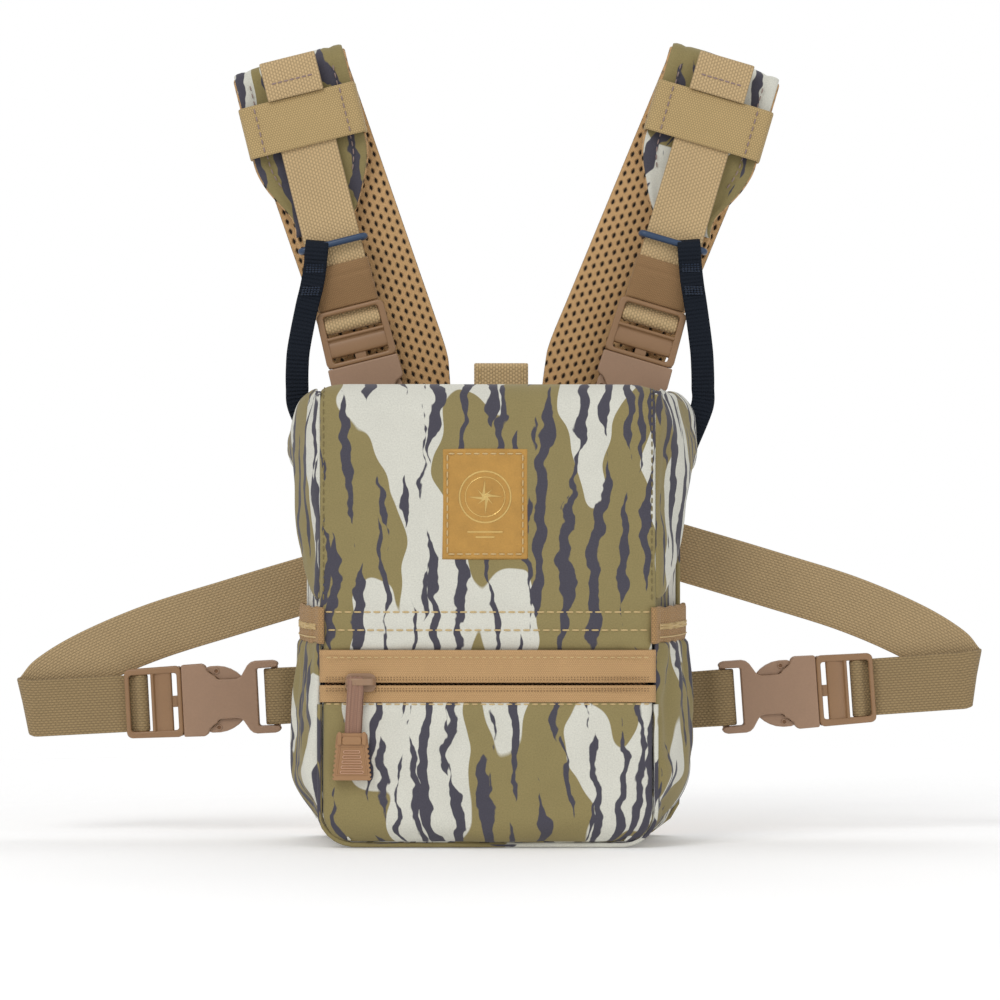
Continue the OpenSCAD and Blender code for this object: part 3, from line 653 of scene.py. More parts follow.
def stitches(name, lines, material, pitch=3.9, length=2.9, radius=0.3, lift=0.15):
    """A row of sewn stitches along each line, a line being a list of (point, outward normal)."""
    points, faces = [], []
    for line in lines:
        total = [0.0]
        for a, b in zip(line, line[1:]):
            total.append(total[-1] + (b[0] - a[0]).length)
        count = max(1, int(total[-1] / pitch))
        space = total[-1] / count
        share = length / pitch * space
        for n in range(count):
            base = len(points)
            for where, size, rise in STITCH:
                spot = (n + 0.5) * space + where * share
                centre, normal = walk(line, total, spot)
                ahead = walk(line, total, spot + 0.2)[0] - walk(line, total, spot - 0.2)[0]
                normal = normal.normalized()
                side = ahead.cross(normal).normalized()
                centre = centre + normal * (lift + rise * radius)
                for c, d in circle(1, SIDES):
                    points.append(centre + (side * c * 1.25 + normal * d) * radius * max(size, 0.15))
            faces += ring_faces(len(STITCH), SIDES, base=base)
            for end in (base, len(points) - SIDES):
                faces.append(tuple(end + k for k in range(SIDES)))
    return make(name, points, faces, material)


def shaded(obj):
    """Shading that keeps large faces flat beside their rounded edges."""
    obj.modifiers.new("shading", "WEIGHTED_NORMAL").keep_sharp = True
    return obj


def prism(name, outline, place, y0, y1, material, round_by=0.5, segments=3, holes=None):
    """Moulded part: outline (w, u) extruded from y0 to y1, with rounded edges.

    place(w, y, u) gives a point; holes is an inner loop with as many points as the outline."""
    build = bmesh.new()
    low = [build.verts.new(place(w, y0, u)) for w, u in outline]
    high = [build.verts.new(place(w, y1, u)) for w, u in outline]
    count = len(outline)
    for k in range(count):
        m = (k + 1) % count
        build.faces.new((low[k], low[m], high[m], high[k]))
    if holes:
        low_in = [build.verts.new(place(w, y0, u)) for w, u in holes]
        high_in = [build.verts.new(place(w, y1, u)) for w, u in holes]
        for k in range(count):
            m = (k + 1) % count
            build.faces.new((low_in[m], low_in[k], high_in[k], high_in[m]))
            build.faces.new((low[m], low[k], low_in[k], low_in[m]))
            build.faces.new((high[k], high[m], high_in[m], high_in[k]))
    else:
        build.faces.new(list(reversed(low)))
        build.faces.new(high)
    bmesh.ops.recalc_face_normals(build, faces=build.faces)
    sharp = [e for e in build.edges if len(e.link_faces) == 2
             and e.calc_face_angle() > math.radians(30)]
    if round_by:
        bmesh.ops.bevel(build, geom=sharp, offset=round_by, segments=segments, profile=0.5,
                        affect="EDGES", clamp_overlap=True)
    for vertex in build.verts:
        vertex.co *= MM
    mesh = bpy.data.meshes.new(name)
    build.to_mesh(mesh)
    build.free()
    return shaded(placed(name, mesh, material))


def join(name, parts):
    """One object from several, joined into the first one."""
    for part in parts:
        for modifier in list(part.modifiers):
            if modifier.type == "WEIGHTED_NORMAL":
                part.modifiers.remove(modifier)
    target = parts[0]
    with bpy.context.temp_override(active_object=target, object=target,
                                   selected_objects=parts, selected_editable_objects=parts):
        bpy.ops.object.join()
    target.name = name
    target.data.name = name
    return shaded(target)


def circle(radius, count, x=0.0, y=0.0):
    turns = [2 * math.pi * k / count for k in range(count)]
    return [(x + radius * math.cos(a), y + radius * math.sin(a)) for a in turns]


def arc(centre, radius, start, end, count):
    """Points (x, y) along an arc, angles in degrees."""
    angles = [math.radians(mix(start, end, k / (count - 1))) for k in range(count)]
    return [(centre[0] + radius * math.cos(a), centre[1] + radius * math.sin(a)) for a in angles]


def mirrored(surface, sign):
    """A right-hand surface, run backwards on the left so that its outer face looks outwards."""
    return surface if sign > 0 else lambda s, t: surface(1 - s, t)


def both_sides(half):
    """Closed outline from its right-hand half, listed from the top down."""
    return [(-w, u) for w, u in reversed(half)] + list(half)


def round_rectangle(half_w, low, high, radius, steps=4):
    """Counter-clockwise outline with rounded corners, w from -half_w to half_w, u from low to high."""
    r = radius
    return (arc((half_w - r, low + r), r, -90, 0, steps) + arc((half_w - r, high - r), r, 0, 90, steps)
            + arc((-half_w + r, high - r), r, 90, 180, steps)
            + arc((-half_w + r, low + r), r, 180, 270, steps))


# ---------------------------------------------------------------- the pack's measures

LID_LOW, LID_HIGH = box("lid_panel")
FRONT_Y, BACK_Y = LID_LOW.y, LID_HIGH.y
TOP_Z = LID_HIGH.z
HINGE = Vector(JOINTS["lid_open"]["pos_m"]) / MM
DEPTH = BACK_Y - FRONT_Y
PAD_LOW, PAD_HIGH = box("back_pad")
FRONT_HALF = box("upper_zip_tape")[1].x - 1
BACK_HALF = LID_HIGH.x - 4
LID_T = 5.0                     # thickness of the lid's padding
LID_ROLL = 9.0                  # outer radius of the lid's front top edge
SWAY = -2.4                     # how far the soft front face hangs to the left of the back
TAPE_LOW, TAPE_HIGH = box("lower_zip_tape")[0].z, box("upper_zip_tape")[1].z
SLIDER = Vector(JOINTS["zip_pull_swing"]["pos_m"]) / MM
SLIT = SLIDER.z
SLIDER_OFF = 1.6                # how far the slider's body stands to the right of its cord
SEAM_HALF = FRONT_HALF + 2.0    # where the front meets the sides


def at(x, y, z):
    """A point of the soft body, whose front face has swayed sideways."""
    return Vector((x + SWAY * (BACK_Y - y) / DEPTH, y, z))


def side_x(y):
    """Half width of the body at depth y."""
    return mix(FRONT_HALF, BACK_HALF, (y - FRONT_Y) / DEPTH)


# ---------------------------------------------------------------- lid and front face


COVER_LOW = TAPE_HIGH - 1.2     # the strip's lower edge is sewn in behind the zip tape


def cover_path(length):
    """Depth and height of the cover's middle layer, a length up from the zip."""
    mid_r = LID_ROLL - LID_T / 2
    front = FRONT_Y + LID_T / 2
    straight = TOP_Z - LID_ROLL - COVER_LOW
    if length < straight:
        return front, COVER_LOW + length
    turn = (length - straight) / mid_r
    if turn < math.pi / 2:
        return front + mid_r * (1 - math.cos(turn)), TOP_Z - LID_ROLL + mid_r * math.sin(turn)
    return front + mid_r + (turn - math.pi / 2) * mid_r, TOP_Z - LID_T / 2


COVER_LENGTH = (TOP_Z - LID_ROLL - COVER_LOW) + (LID_ROLL - LID_T / 2) * math.pi / 2 + DEPTH - LID_ROLL
LID_HALF = SEAM_HALF + 0.6


def cover_half(y):
    """Half width of the lid's front and top at depth y; the rear corners are rounded."""
    corner, behind = 9.0, max(0.0, BACK_Y - y)
    rear = max(0.0, y - FRONT_Y - LID_ROLL) / DEPTH
    half = LID_HALF + (LID_HIGH.x - 8.0 - LID_HALF) * rear
    if behind < corner:
        half -= corner - math.sqrt(corner ** 2 - (corner - behind) ** 2)
    return half


def cover_surface(s, t):
    """Middle layer of the cover, s across it and t up from the zip."""
    y, z = cover_path(t * COVER_LENGTH)
    half = mix(cover_half(y), SEAM_HALF - 1, smooth((HINGE.z - z) / 12))
    sag = 1.4 * math.sin(math.pi * s) * smooth((y - FRONT_Y - 12) / 20) * smooth((BACK_Y - y) / 14)
    return at((2 * s - 1) * half, y, z - sag)


HINGE_ROWS = ((0.7, 0.9), (8.4, 0.8))   # drop below the hinge and depth of its two sewn rows


def quilted(distance, depth, width):
    """A groove pressed by a stitched seam."""
    return -depth * math.exp(-(distance / width) ** 2)


def cover_relief(s, t):
    """Grooves at the hinge's two seams and along the edges, and a slight wave."""
    height = COVER_LOW + t * COVER_LENGTH
    groove = sum(quilted(height - HINGE.z + drop, depth, 1.6) for drop, depth in HINGE_ROWS)
    across = s * 2 * LID_HALF
    edge = min(across, 2 * LID_HALF - across)
    wave = 0.5 * noise.noise(Vector((s * 3.0, t * 4.0, 1.0)))
    return groove + quilted(edge - 3.0, 0.5, 1.4) + wave


def cover():
    """Padded front and top in one cloth, from the strip above the zip to the lid's rear edge."""
    piece = slab("lid_cover", cover_surface, 2 * LID_HALF, COVER_LENGTH, 3.4, "camo", crown=0.7,
                 soft=1.9, cell=3.0, relief=cover_relief)
    puff(piece, pressure=2.0, cap=1.2, grow=0.004)
    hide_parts("lid_panel", "front_strip")
    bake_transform(piece)
    return piece


def on_cover(s, length, out):
    """Point and outward normal on the cover's outer face, for threads."""
    t = length / COVER_LENGTH
    centre = cover_surface(s, t)
    dt = cover_surface(s, min(1, t + 1e-3)) - cover_surface(s, t - 1e-3)
    ds = cover_surface(min(1, s + 1e-3), t) - cover_surface(max(0, s - 1e-3), t)
    normal = ds.cross(dt).normalized()
    return centre + normal * out, normal


def lid_lining():
    """Brushed lining inside the lid, from the fold to the rear edge."""
    start = HINGE.z + 7 - COVER_LOW
    margin, depth = 0.035, -2.7

    def surface(s, t):
        return on_cover(mix(margin, 1 - margin, s), mix(start, 0.975 * COVER_LENGTH, t), depth)[0]

    lining = slab("lid_lining", surface, 2 * LID_HALF, COVER_LENGTH - start, 0.8, "lining", soft=0.8,
                  cell=4.0)
    hand_in(lining, "lid", "lining")


def settled(rows, piece):
    """The rows moved along their normals until they lie on a finished piece."""
    tree = BVHTree.FromObject(piece, bpy.context.evaluated_depsgraph_get())

    def lie(point, normal):
        hit = tree.ray_cast((point + normal * 6) * MM, -normal, 12 * MM)[0]
        return (hit / MM if hit else point, normal)

    return [[lie(point, normal) for point, normal in row] for row in rows]


def cover_threads(piece):
    """Two rows across the hinge, and a row down each edge of the lid."""
    across = [0.02 + 0.96 * k / 60 for k in range(61)]
    rows = [[on_cover(s, HINGE.z - drop - COVER_LOW, 1.35) for s in across] for drop, _ in HINGE_ROWS]
    hinge = stitches("hinge_threads", settled(rows, piece), "thread", pitch=4.1, length=3.2,
                     radius=0.3)
    start, end = HINGE.z + 4 - COVER_LOW, COVER_LENGTH - 6
    edges = [[on_cover(s, mix(start, end, k / 90), 1.7) for k in range(91)] for s in (0.018, 0.982)]
    edge = stitches("lid_edge_threads", settled(edges, piece), "olive_thread", pitch=3.4, length=2.5,
                    radius=0.25)
    hand_in(hinge, "pack", "webbing")
    hand_in(edge, "lid", "webbing")


def wing(key, sign):
    """A side of the lid: hangs from the seam, deep behind the front edge and shallow at the rear."""
    low, high = box(f"lid_{key}_wing")

    def surface(s, t):
        y = mix(FRONT_Y + 1.7, BACK_Y - 1.5, s)
        bottom = mix(high.z - 31, low.z - 1.5, (1 - smooth((s - 0.05) / 0.85)) ** 1.1)
        rounding = mix(2.2, 12.0, smooth(s / 0.7))      # the top corner rounds off towards the rear
        up = min(1.0, t / 0.76)
        full = 5.2 * smooth(s / 0.45) * math.sin(math.pi * mix(0.22, 0.74, up)) ** 0.7
        wide = side_x(y) + 2.0 + full - 1.3 * (1 - smooth(s / 0.05))
        seam = min(wide, cover_half(y) + 0.3)
        turn = max(0.0, (t - 0.76) / 0.24) * math.pi / 2
        seam_z = TOP_Z - LID_T / 2 - rounding
        z = mix(bottom, seam_z, up) + rounding * math.sin(turn)
        return at(sign * mix(seam, wide, math.cos(turn)), y, z)

    def folds(s, t):
        front = 1 - s if sign < 0 else s
        sweep = math.sin(9 * (t + 0.7 * front) + sign) * 0.7 * smooth(front * 3) * smooth(t * 4)
        return sweep + 0.6 * noise.noise(Vector((s * 4, t * 5, 3 + sign)))

    piece = slab(f"lid_{key}_side", mirrored(surface, sign), DEPTH, high.z - low.z, 2.6, "camo",
                 crown=0.6, soft=1.7, cell=3.0, offset=(200 + 130 * sign, 15), relief=folds)
    puff(piece, pressure=2.0, cap=1.5, grow=0.012)
    hand_in(piece, "lid", "camo_fabric", f"lid_{key}_wing")


def patch():
    """Leather patch with pressed edge, stitching and a plain foil compass."""
    low, high = box("leather_patch")
    width, height = high.x - low.x, high.z - low.z
    middle = (low + high) / 2
    inset = 2.3                 # of the stitching from the patch's edge
    front = FRONT_Y - 0.75

    def surface(s, t):
        return at(low.x + width * s, front - 0.35 * math.sin(math.pi * s), low.z + height * t)

    def pressed(s, t):
        edge = min(min(s, 1 - s) * width, min(t, 1 - t) * height)
        return quilted(edge - inset, 0.28, 0.6) + 0.1 * noise.noise(Vector((s * 9, t * 9, 0)))

    leather = slab("leather_patch_front", surface, width, height, 1.5, "leather", soft=0.7, cell=0.7,
                   relief=pressed)
    corners = [(low.x + inset, low.z + inset), (high.x - inset, low.z + inset),
               (high.x - inset, high.z - inset), (low.x + inset, high.z - inset)]
    face = front - 0.75
    lines = []
    for a, b in zip(corners, corners[1:] + corners[:1]):
        lines.append([(at(mix(a[0], b[0], k / 8), face - 0.2, mix(a[1], b[1], k / 8)), OUT)
                      for k in range(9)])
    threads = stitches("leather_patch_threads", lines, "thread", pitch=3.3, length=2.5, radius=0.28,
                       lift=0.05)

    def flat(w, y, u):
        return at(middle.x + w, face - 0.42 + y, middle.z + 3 + u)

    def foil(outline, holes=None):
        return prism("foil", outline, flat, 0, 0.12, "foil", 0.0, holes=holes)

    marks = [foil(circle(11.2, 48), circle(10.6, 48)), foil(circle(8.6, 48), circle(8.3, 48))]
    for quarter in range(4):
        for skew, length, breadth in ((0.0, 7.6, 1.7), (math.pi / 4, 4.6, 1.1)):
            a = math.pi / 2 * quarter + skew
            tip = (length * math.cos(a), length * math.sin(a))
            side = (breadth * math.cos(a + math.pi / 4), breadth * math.sin(a + math.pi / 4))
            marks.append(foil([(0, 0), tip, side]))
    for drop, half in ((15.2, 7.5), (17.4, 4.0)):
        marks.append(foil([(-half, -drop), (half, -drop), (half, -drop + 0.6), (-half, -drop + 0.6)]))
    motif = join("foil_compass", marks)
    hand_in(leather, "lid", "leather", "leather_patch")
    for piece in (threads, motif):
        hand_in(piece, "lid", "leather")


def pull_tab():
    """Folded webbing tab that stands up behind the lid's rear edge."""
    low, high = box("lid_pull_tab")
    x, y = (low.x + high.x) / 2, (low.y + high.y) / 2
    half = Vector(((high.x - low.x) / 2, 0, 0))
    loop = ((-0.6, low.z + 0.5), (-0.9, high.z - 6), (-1.0, high.z - 1.6), (0.1, high.z - 0.7),
            (1.1, high.z - 1.6), (0.9, high.z - 6), (0.9, low.z + 0.5))
    piece = strip("lid_pull_tab_webbing", [(Vector((x, y + dy, z)), half) for dy, z in loop], 1.1,
                  "webbing", gap=0.8, columns=12)
    lines = [[(Vector((x + w, y - 1.5, z)), OUT) for z in (low.z + 2, high.z - 1.5)]
             for w in (-9.5, 9.5)]
    threads = stitches("lid_pull_tab_threads", lines, "thread", pitch=2.8, length=2.0, radius=0.22)
    hand_in(piece, "lid", "webbing", "lid_pull_tab")
    hand_in(threads, "lid", "webbing")


# ---------------------------------------------------------------- zip and front pocket


def tape_strip(name, low, high, rolled):
    """One zip tape, its far edge rolled over in a ribbed binding."""
    x = SEAM_HALF - 0.4
    half = Vector((0, 0, (low - high) / 2))

    def shape(a, _length):
        if not rolled:
            return 0.35 * math.exp(-((a + 0.6) / 0.25) ** 2)
        return 0.75 * math.exp(-((a + 0.76) / 0.2) ** 2) + 0.35 * math.exp(-((a - 0.72) / 0.16) ** 2)

    stations = []
    for k in range(13):
        f = 2 * k / 12 - 1
        bow = 1.6 * abs(f) ** 7 - 0.5 * (1 - f * f)
        stations.append((at(x * f, FRONT_Y + 0.2 + bow, (low + high) / 2), half))
    return strip(name, stations, 0.9, "tape", gap=2.5, columns=18, relief=shape)


def zip_fastener():
    """Two tapes with their stitching, and the coil between them."""
    split = SLIT - 0.35
    upper = tape_strip("upper_tape", split + 0.55, TAPE_HIGH + 0.6, True)
    lower = tape_strip("lower_tape", TAPE_LOW, split - 0.55, False)
    x = FRONT_HALF - 1

    def row(z):
        return [(at(x * f / 12, FRONT_Y - 0.75, z), OUT) for f in range(-12, 13)]

    top = stitches("tape_threads", [row(TAPE_HIGH - 2.6)], "thread", pitch=2.85, length=2.0,
                   radius=0.22)
    ticks = stitches("tape_ticks", [row(split + z) for z in (1.9, 2.9, -1.9, -2.9)], "binding",
                     pitch=1.3, length=0.75, radius=0.2)
    coils, pitch = [], 2.1
    for side in (-1, 1):
        path = []
        for k in range(int(2 * x / pitch) * 8):
            a = 2 * math.pi * k / 8
            path.append(at(-x + pitch * k / 8, FRONT_Y + 1.7 + 0.7 * math.sin(a),
                           split + side * 1.25 + 1.15 * math.cos(a)))
        coils.append(tube("coil", path, 0.32, "coil", sides=5))
    coil = join("zip_coil", coils)
    hand_in(upper, "pack", "zip_tape", "upper_zip_tape")
    hand_in(lower, "pack", "zip_tape", "lower_zip_tape")
    for piece in (top, ticks):
        hand_in(piece, "pack", "zip_tape")
    hand_in(coil, "pack", "zip_chain", "zip_chain")


def zip_slider():
    """Slider with rounded plates and an arched bridge."""
    rear = box("zip_slider")[1].y
    plate_y = FRONT_Y - 1.0

    def place(w, y, u):
        return Vector((SLIDER.x + SLIDER_OFF + w, y, SLIDER.z + 0.3 + u))

    plate = round_rectangle(6.5, -4.0, 4.0, 2.6, 6)
    wedge = [(-1.5, -0.5), (5, -0.5), (5, 0.5), (-1.5, 0.5)]
    parts = [prism("plate", plate, place, plate_y - 1.3, plate_y, "slider", 0.5),
             prism("rear", plate, place, rear - 1.1, rear, "slider", 0.4),
             prism("wedge", wedge, place, plate_y, rear - 1, "slider", 0.0)]
    bridge = []
    for k in range(17):
        a = math.pi * k / 16
        spot = place(-5.4 * math.cos(a), plate_y - 0.9 - 3.1 * math.sin(a) ** 0.7, 0.4)
        bridge.append((spot, Vector((0, 0, 1.5))))
    parts.append(strip("arch", bridge, 1.5, "slider", gap=0.6))
    hand_in(join("slider_body", parts), "zip_slider", "zip_plastic", "zip_slider")


def zip_pull():
    """Ribbed flat cord through the bridge, moulded into a tapered grip."""
    x0 = SLIDER.x + SWAY
    bridge_y, bridge_z = SLIDER.y, SLIDER.z
    grip_low, grip_high = box("zip_pull_grip")
    top, front_y = grip_high.z, grip_low.y

    def ribs(a, _length):
        return 0.28 * math.cos(a * math.pi * 3.6)

    half = Vector((3.4, 0, 0))
    loop = [(-1.4, top - 3, 0.6), (-1.5, top + 8, 1.1), (-1.35, bridge_z - 2, 1.8),
            (-1.3, bridge_z + 0.6, 1.9), (0.0, bridge_z + 2.3, 1.9), (1.9, bridge_z + 0.6, 2.0),
            (1.0, bridge_z - 3, 2.0), (0.7, top + 8, 1.6), (0.6, top - 3, 0.9)]
    stations = [(Vector((x0 + dx, bridge_y + dy, z)), half) for dy, z, dx in loop]
    cord = strip("pull_cord", stations, 1.3, "cord", gap=0.9, columns=24, relief=ribs)

    def place(w, y, u):
        return Vector((x0 + w + 0.4, y, top + u))

    length = top - grip_low.z
    edge = []
    for k in range(7):                              # notches down the side
        u = -5.2 - 2.0 * k
        wide = mix(6.5, 8.4, -u / length)
        edge += [(wide, u), (wide + 0.15, u - 0.95), (wide - 0.45, u - 1.15), (wide - 0.4, u - 1.85)]
    right = [(5.9, 0.0), (6.5, -0.7)] + edge + [(8.5, -length + 0.9), (7.7, -length)]
    back = prism("grip_body", both_sides(right)[::-1], place, front_y + 0.9, grip_high.y, "grip",
                 0.35, 2)
    frame_out = [(-5.2, -5.4), (-6.9, -length + 2.2), (6.9, -length + 2.2), (5.2, -5.4)]
    inner = [(-4.7, -5.9), (-6.2, -length + 2.8), (6.2, -length + 2.8), (4.7, -5.9)]
    rim = prism("grip_rim", frame_out, place, front_y + 0.55, front_y + 1.3, "grip", 0.15, 1, inner)
    parts = [back, rim]
    # the ribs' outlines take the lighter plastic: painted highlight along their edges
    for k in range(5):
        u = -7.2 - 2.15 * k
        half_w = 3.6 + 0.36 * k
        parts.append(prism("rib", round_rectangle(half_w, u - 1.35, u, 0.5, 3), place, front_y + 0.4,
                           front_y + 1.3, "grip_painted_highlight", 0.2, 1,
                           round_rectangle(half_w - 0.35, u - 1.0, u - 0.35, 0.2, 3)))
    for w in (-5.2, 5.2):
        parts.append(prism("ear", round_rectangle(0.9, -5.0, 0.6, 0.7, 3),
                           lambda a, y, u, w=w: place(a + w, y, u), front_y - 0.1, front_y + 1.6,
                           "grip", 0.3, 2))
    parts.append(prism("roll", round_rectangle(4.2, -4.9, -1.4, 0.9, 3), place, front_y + 0.1,
                       front_y + 1.5, "grip", 0.6, 3))
    hand_in(cord, "zip_pull", "cord", "zip_pull_cord")
    hand_in(join("pull_grip", parts), "zip_pull", "zip_plastic", "zip_pull_grip")


POCKET_HALF = SEAM_HALF - 0.8
CORNER = 15.0                   # radius of the front pocket's bottom corners


def pocket_half(z):
    """Half width of the front pocket at height z."""
    below = max(0.0, CORNER - z)
    return POCKET_HALF - CORNER + math.sqrt(CORNER ** 2 - below ** 2)


def pocket_front():
    """Front pocket's outer panel, the seam below its zip and the piping round it."""
    bottom, top = 1.2, box("pocket_panel")[1].z + 1.4

    def surface(s, t):
        z = mix(bottom, top, t)
        f = 2 * s - 1
        swell = max(0.0, 1 - abs(f) ** 3.2)
        rise = math.sin(math.pi * min(1.0, 0.16 + 0.72 * t)) ** 0.8
        under = 6.5 * (1 - min(1.0, t / 0.2)) ** 2
        side = 1.8 * abs(f) ** 9
        y = FRONT_Y + 1.2 - 2.8 * swell * rise + under + side
        return at(f * pocket_half(z), y, z)

    def relief(s, t):
        f = 2 * s - 1
        pull = 0.35 * math.sin(9 * s + 2) * smooth((t - 0.5) * 2)
        groove = quilted((1 - t) * (top - bottom) - 1.8, 0.7, 1.2)
        return groove + pull * (1 - abs(f)) + 0.5 * noise.noise(Vector((s * 4, t * 3, 8)))

    piece = slab("pocket_front", surface, 2 * SEAM_HALF, top - bottom, 3.0, "camo", crown=0.4,
                 soft=1.6, cell=3.0, offset=(3, -62), relief=relief)
    puff(piece, pressure=2.5, cap=1.8, grow=0.008)
    seam = 1 - 1.8 / (top - bottom)
    line = [(surface(0.012 + 0.976 * k / 60, seam) + OUT * 1.15, OUT) for k in range(61)]
    threads = stitches("pocket_threads", settled([line], piece), "thread", pitch=3.6, length=2.6,
                       radius=0.27)

    def rim(a):
        """Piping round the pocket, a running from 0 at its top to 0.5 at the middle of its bottom."""
        if a < 0.3:
            z = mix(top - 2, CORNER, a / 0.3)
            return pocket_half(z) + 0.5, FRONT_Y + 2.6, z
        turn = (a - 0.3) / 0.08 * math.pi / 2
        if turn < math.pi / 2:
            return (POCKET_HALF - CORNER + CORNER * math.cos(turn) + 0.5,
                    FRONT_Y + 3.8 + 2.2 * math.sin(turn), CORNER - 14.2 * math.sin(turn))
        return mix(POCKET_HALF - CORNER, 0, (a - 0.38) / 0.12), FRONT_Y + 6, 0.8

    right = [rim(k / 80) for k in range(41)]
    path = [at(-x, y, z) for x, y, z in right] + [at(*p) for p in reversed(right[:-1])]
    piping = tube("pocket_piping", path, 1.1, "camo", sides=8)
    hand_in(piece, "pack", "camo_fabric", "pocket_panel")
    hand_in(threads, "pack", "webbing")
    hand_in(piping, "pack", "camo_fabric")


# ---------------------------------------------------------------- sides


def body_side(key, sign):
    """Padded side wall, its lower corners tucked in under the pocket."""
    top = box(f"{key}_side_panel")[1].z

    def surface(s, t):
        y = mix(FRONT_Y + 2.6, PAD_LOW.y + 0.5, s)
        z = mix(2.0, top, t)
        tuck = 10.0 * (1 - min(1.0, z / 22)) ** 2
        x = side_x(y) - 1.0 - tuck + 0.8 * math.sin(math.pi * t)
        return at(sign * x, y, z)

    def creases(s, t):
        return 0.7 * noise.noise(Vector((s * 5, t * 8, 12 + sign)))

    piece = slab(f"{key}_side", mirrored(surface, sign), 74, top - 2, 3.0, "camo", crown=0.4, soft=2.5,
                 cell=4.0, offset=(60 * sign, 90), relief=creases)
    puff(piece, pressure=2.0, cap=1.2, grow=0.006)
    hand_in(piece, "pack", "camo_fabric", f"{key}_side_panel")


def pocket_bulge(s, height):
    """How far a side pocket stands off the side wall."""
    return 5.4 * math.sin(math.pi * min(1.0, 0.02 + 0.9 * s)) ** 0.6 * height


def side_pocket(key, sign):
    """Stretch pocket gathered under its elastic, sagging round at the bottom."""
    top = box(f"{key}_side_pocket")[1].z + 1.5
    elastic_low, elastic_high = box(f"{key}_pocket_elastic")

    def surface(s, t):
        y = mix(FRONT_Y + 2.2, PAD_LOW.y - 0.6, s)
        z = mix(1.6, top, t)
        fill = smooth(t / 0.35) * (1 - 0.35 * smooth((t - 0.55) / 0.45))
        tuck = 15.0 * (1 - min(1.0, z / 34)) ** 2.2
        lip = 2.2 * (1 - smooth(s / 0.05))              # the front edge is sewn in behind the pocket
        x = side_x(y) + 1.6 - tuck - lip + pocket_bulge(s, fill)
        return at(sign * x, y, z)

    def gathers(s, t):
        front = 1 - s if sign < 0 else s
        pulled = smooth((t - 0.25) / 0.7)
        pleat = math.sin(front * 31 + 2.2 * math.sin(t * 3.0 + sign)) * 1.25 * pulled
        wide = math.sin(front * 12 + t * 4 + sign) * 0.9
        return pleat + wide + 0.8 * noise.noise(Vector((front * 6, t * 4, 30 + sign)))

    piece = slab(f"{key}_stretch_pocket", mirrored(surface, sign), 78, top - 1.6, 1.8, "camo", soft=2.0,
                 cell=2.6, offset=(90 * sign + 40, -40), relief=gathers)
    puff(piece, pressure=3.0, cap=2.2, grow=0.02)

    def band(s, z):
        y = mix(FRONT_Y + 1.6, PAD_LOW.y - 0.8, s)
        x = side_x(y) + 1.7 + pocket_bulge(s, 0.62) * smooth(s * 5)
        return at(sign * x, y, z)

    middle = (elastic_low.z + elastic_high.z) / 2
    half = Vector((0, 0, (elastic_high.z - elastic_low.z) / 2 + 0.3))
    stations = [(band(k / 16, middle + 0.4 * math.sin(k * 1.7)), half * sign) for k in range(17)]
    front = stations[0][0]
    stations.insert(0, (front + Vector((-sign * 2.2, -1.0, 0)), half * sign))

    def ripple(a, length):
        return 0.35 * math.sin(length * 1.5) + 0.3 * quilted(abs(a) - 0.97, 1.0, 0.1)

    elastic = strip(f"{key}_elastic", stations, 1.9, "binding", gap=1.0, columns=10, relief=ripple)
    out = Vector((sign, -0.14, 0)).normalized()
    zigzag, straight = [], []
    for k in range(2, 121):
        swing = 1.3 if k % 2 else -1.3
        zigzag.append((band(k / 122, middle - 0.6 + swing) + out * 1.2, out))
        straight.append((band(k / 122, elastic_low.z + 2.4) + out * 1.2, out))
    threads = stitches(f"{key}_elastic_threads", [zigzag, straight], "thread", pitch=1.35, length=1.2,
                       radius=0.26)
    hand_in(piece, "pack", "camo_fabric", f"{key}_side_pocket")
    hand_in(elastic, "pack", "elastic", f"{key}_pocket_elastic")
    hand_in(threads, "pack", "elastic")


def bottom():
    """Underside cloth, its edges turned up behind the pockets."""

    def surface(s, t):
        y = mix(FRONT_Y + 4.5, PAD_LOW.y + 3.0, t)
        half = side_x(y) - 6 - 8 * (1 - min(1.0, min(t, 1 - t) / 0.16)) ** 2
        f = 2 * s - 1
        return at(f * half, y, 2.4 + 3.5 * abs(f) ** 8)

    piece = slab("bottom_cloth", surface, 150, 76, 3.4, "camo", crown=0.3, soft=3, cell=4,
                 offset=(0, -140))
    hand_in(piece, "pack", "camo_fabric", "bottom_panel")


def inner_walls():
    """Brushed lining on the compartment's front and back walls."""
    for node in ("front_wall", "back_wall"):
        low, high = box(node)
        middle = (low.y + high.y) / 2

        def surface(s, t, low=low, high=high, middle=middle):
            z = mix(low.z, high.z, t)
            f = 2 * s - 1
            tuck = 6.0 * (1 - min(1.0, z / 18)) ** 2
            top = 3.0 * abs(f) ** 6 * smooth((t - 0.9) / 0.1)
            return at(f * (high.x - tuck), middle, z - top)

        piece = slab(f"{node}_lining", surface, 2 * high.x, high.z - low.z, high.y - low.y, "lining",
                     crown=0.3, soft=3.0, cell=5.0)
        puff(piece, pressure=2.0, cap=1.0, grow=0.004)
        hand_in(piece, "pack", "lining", node)


# ---------------------------------------------------------------- back of the pack


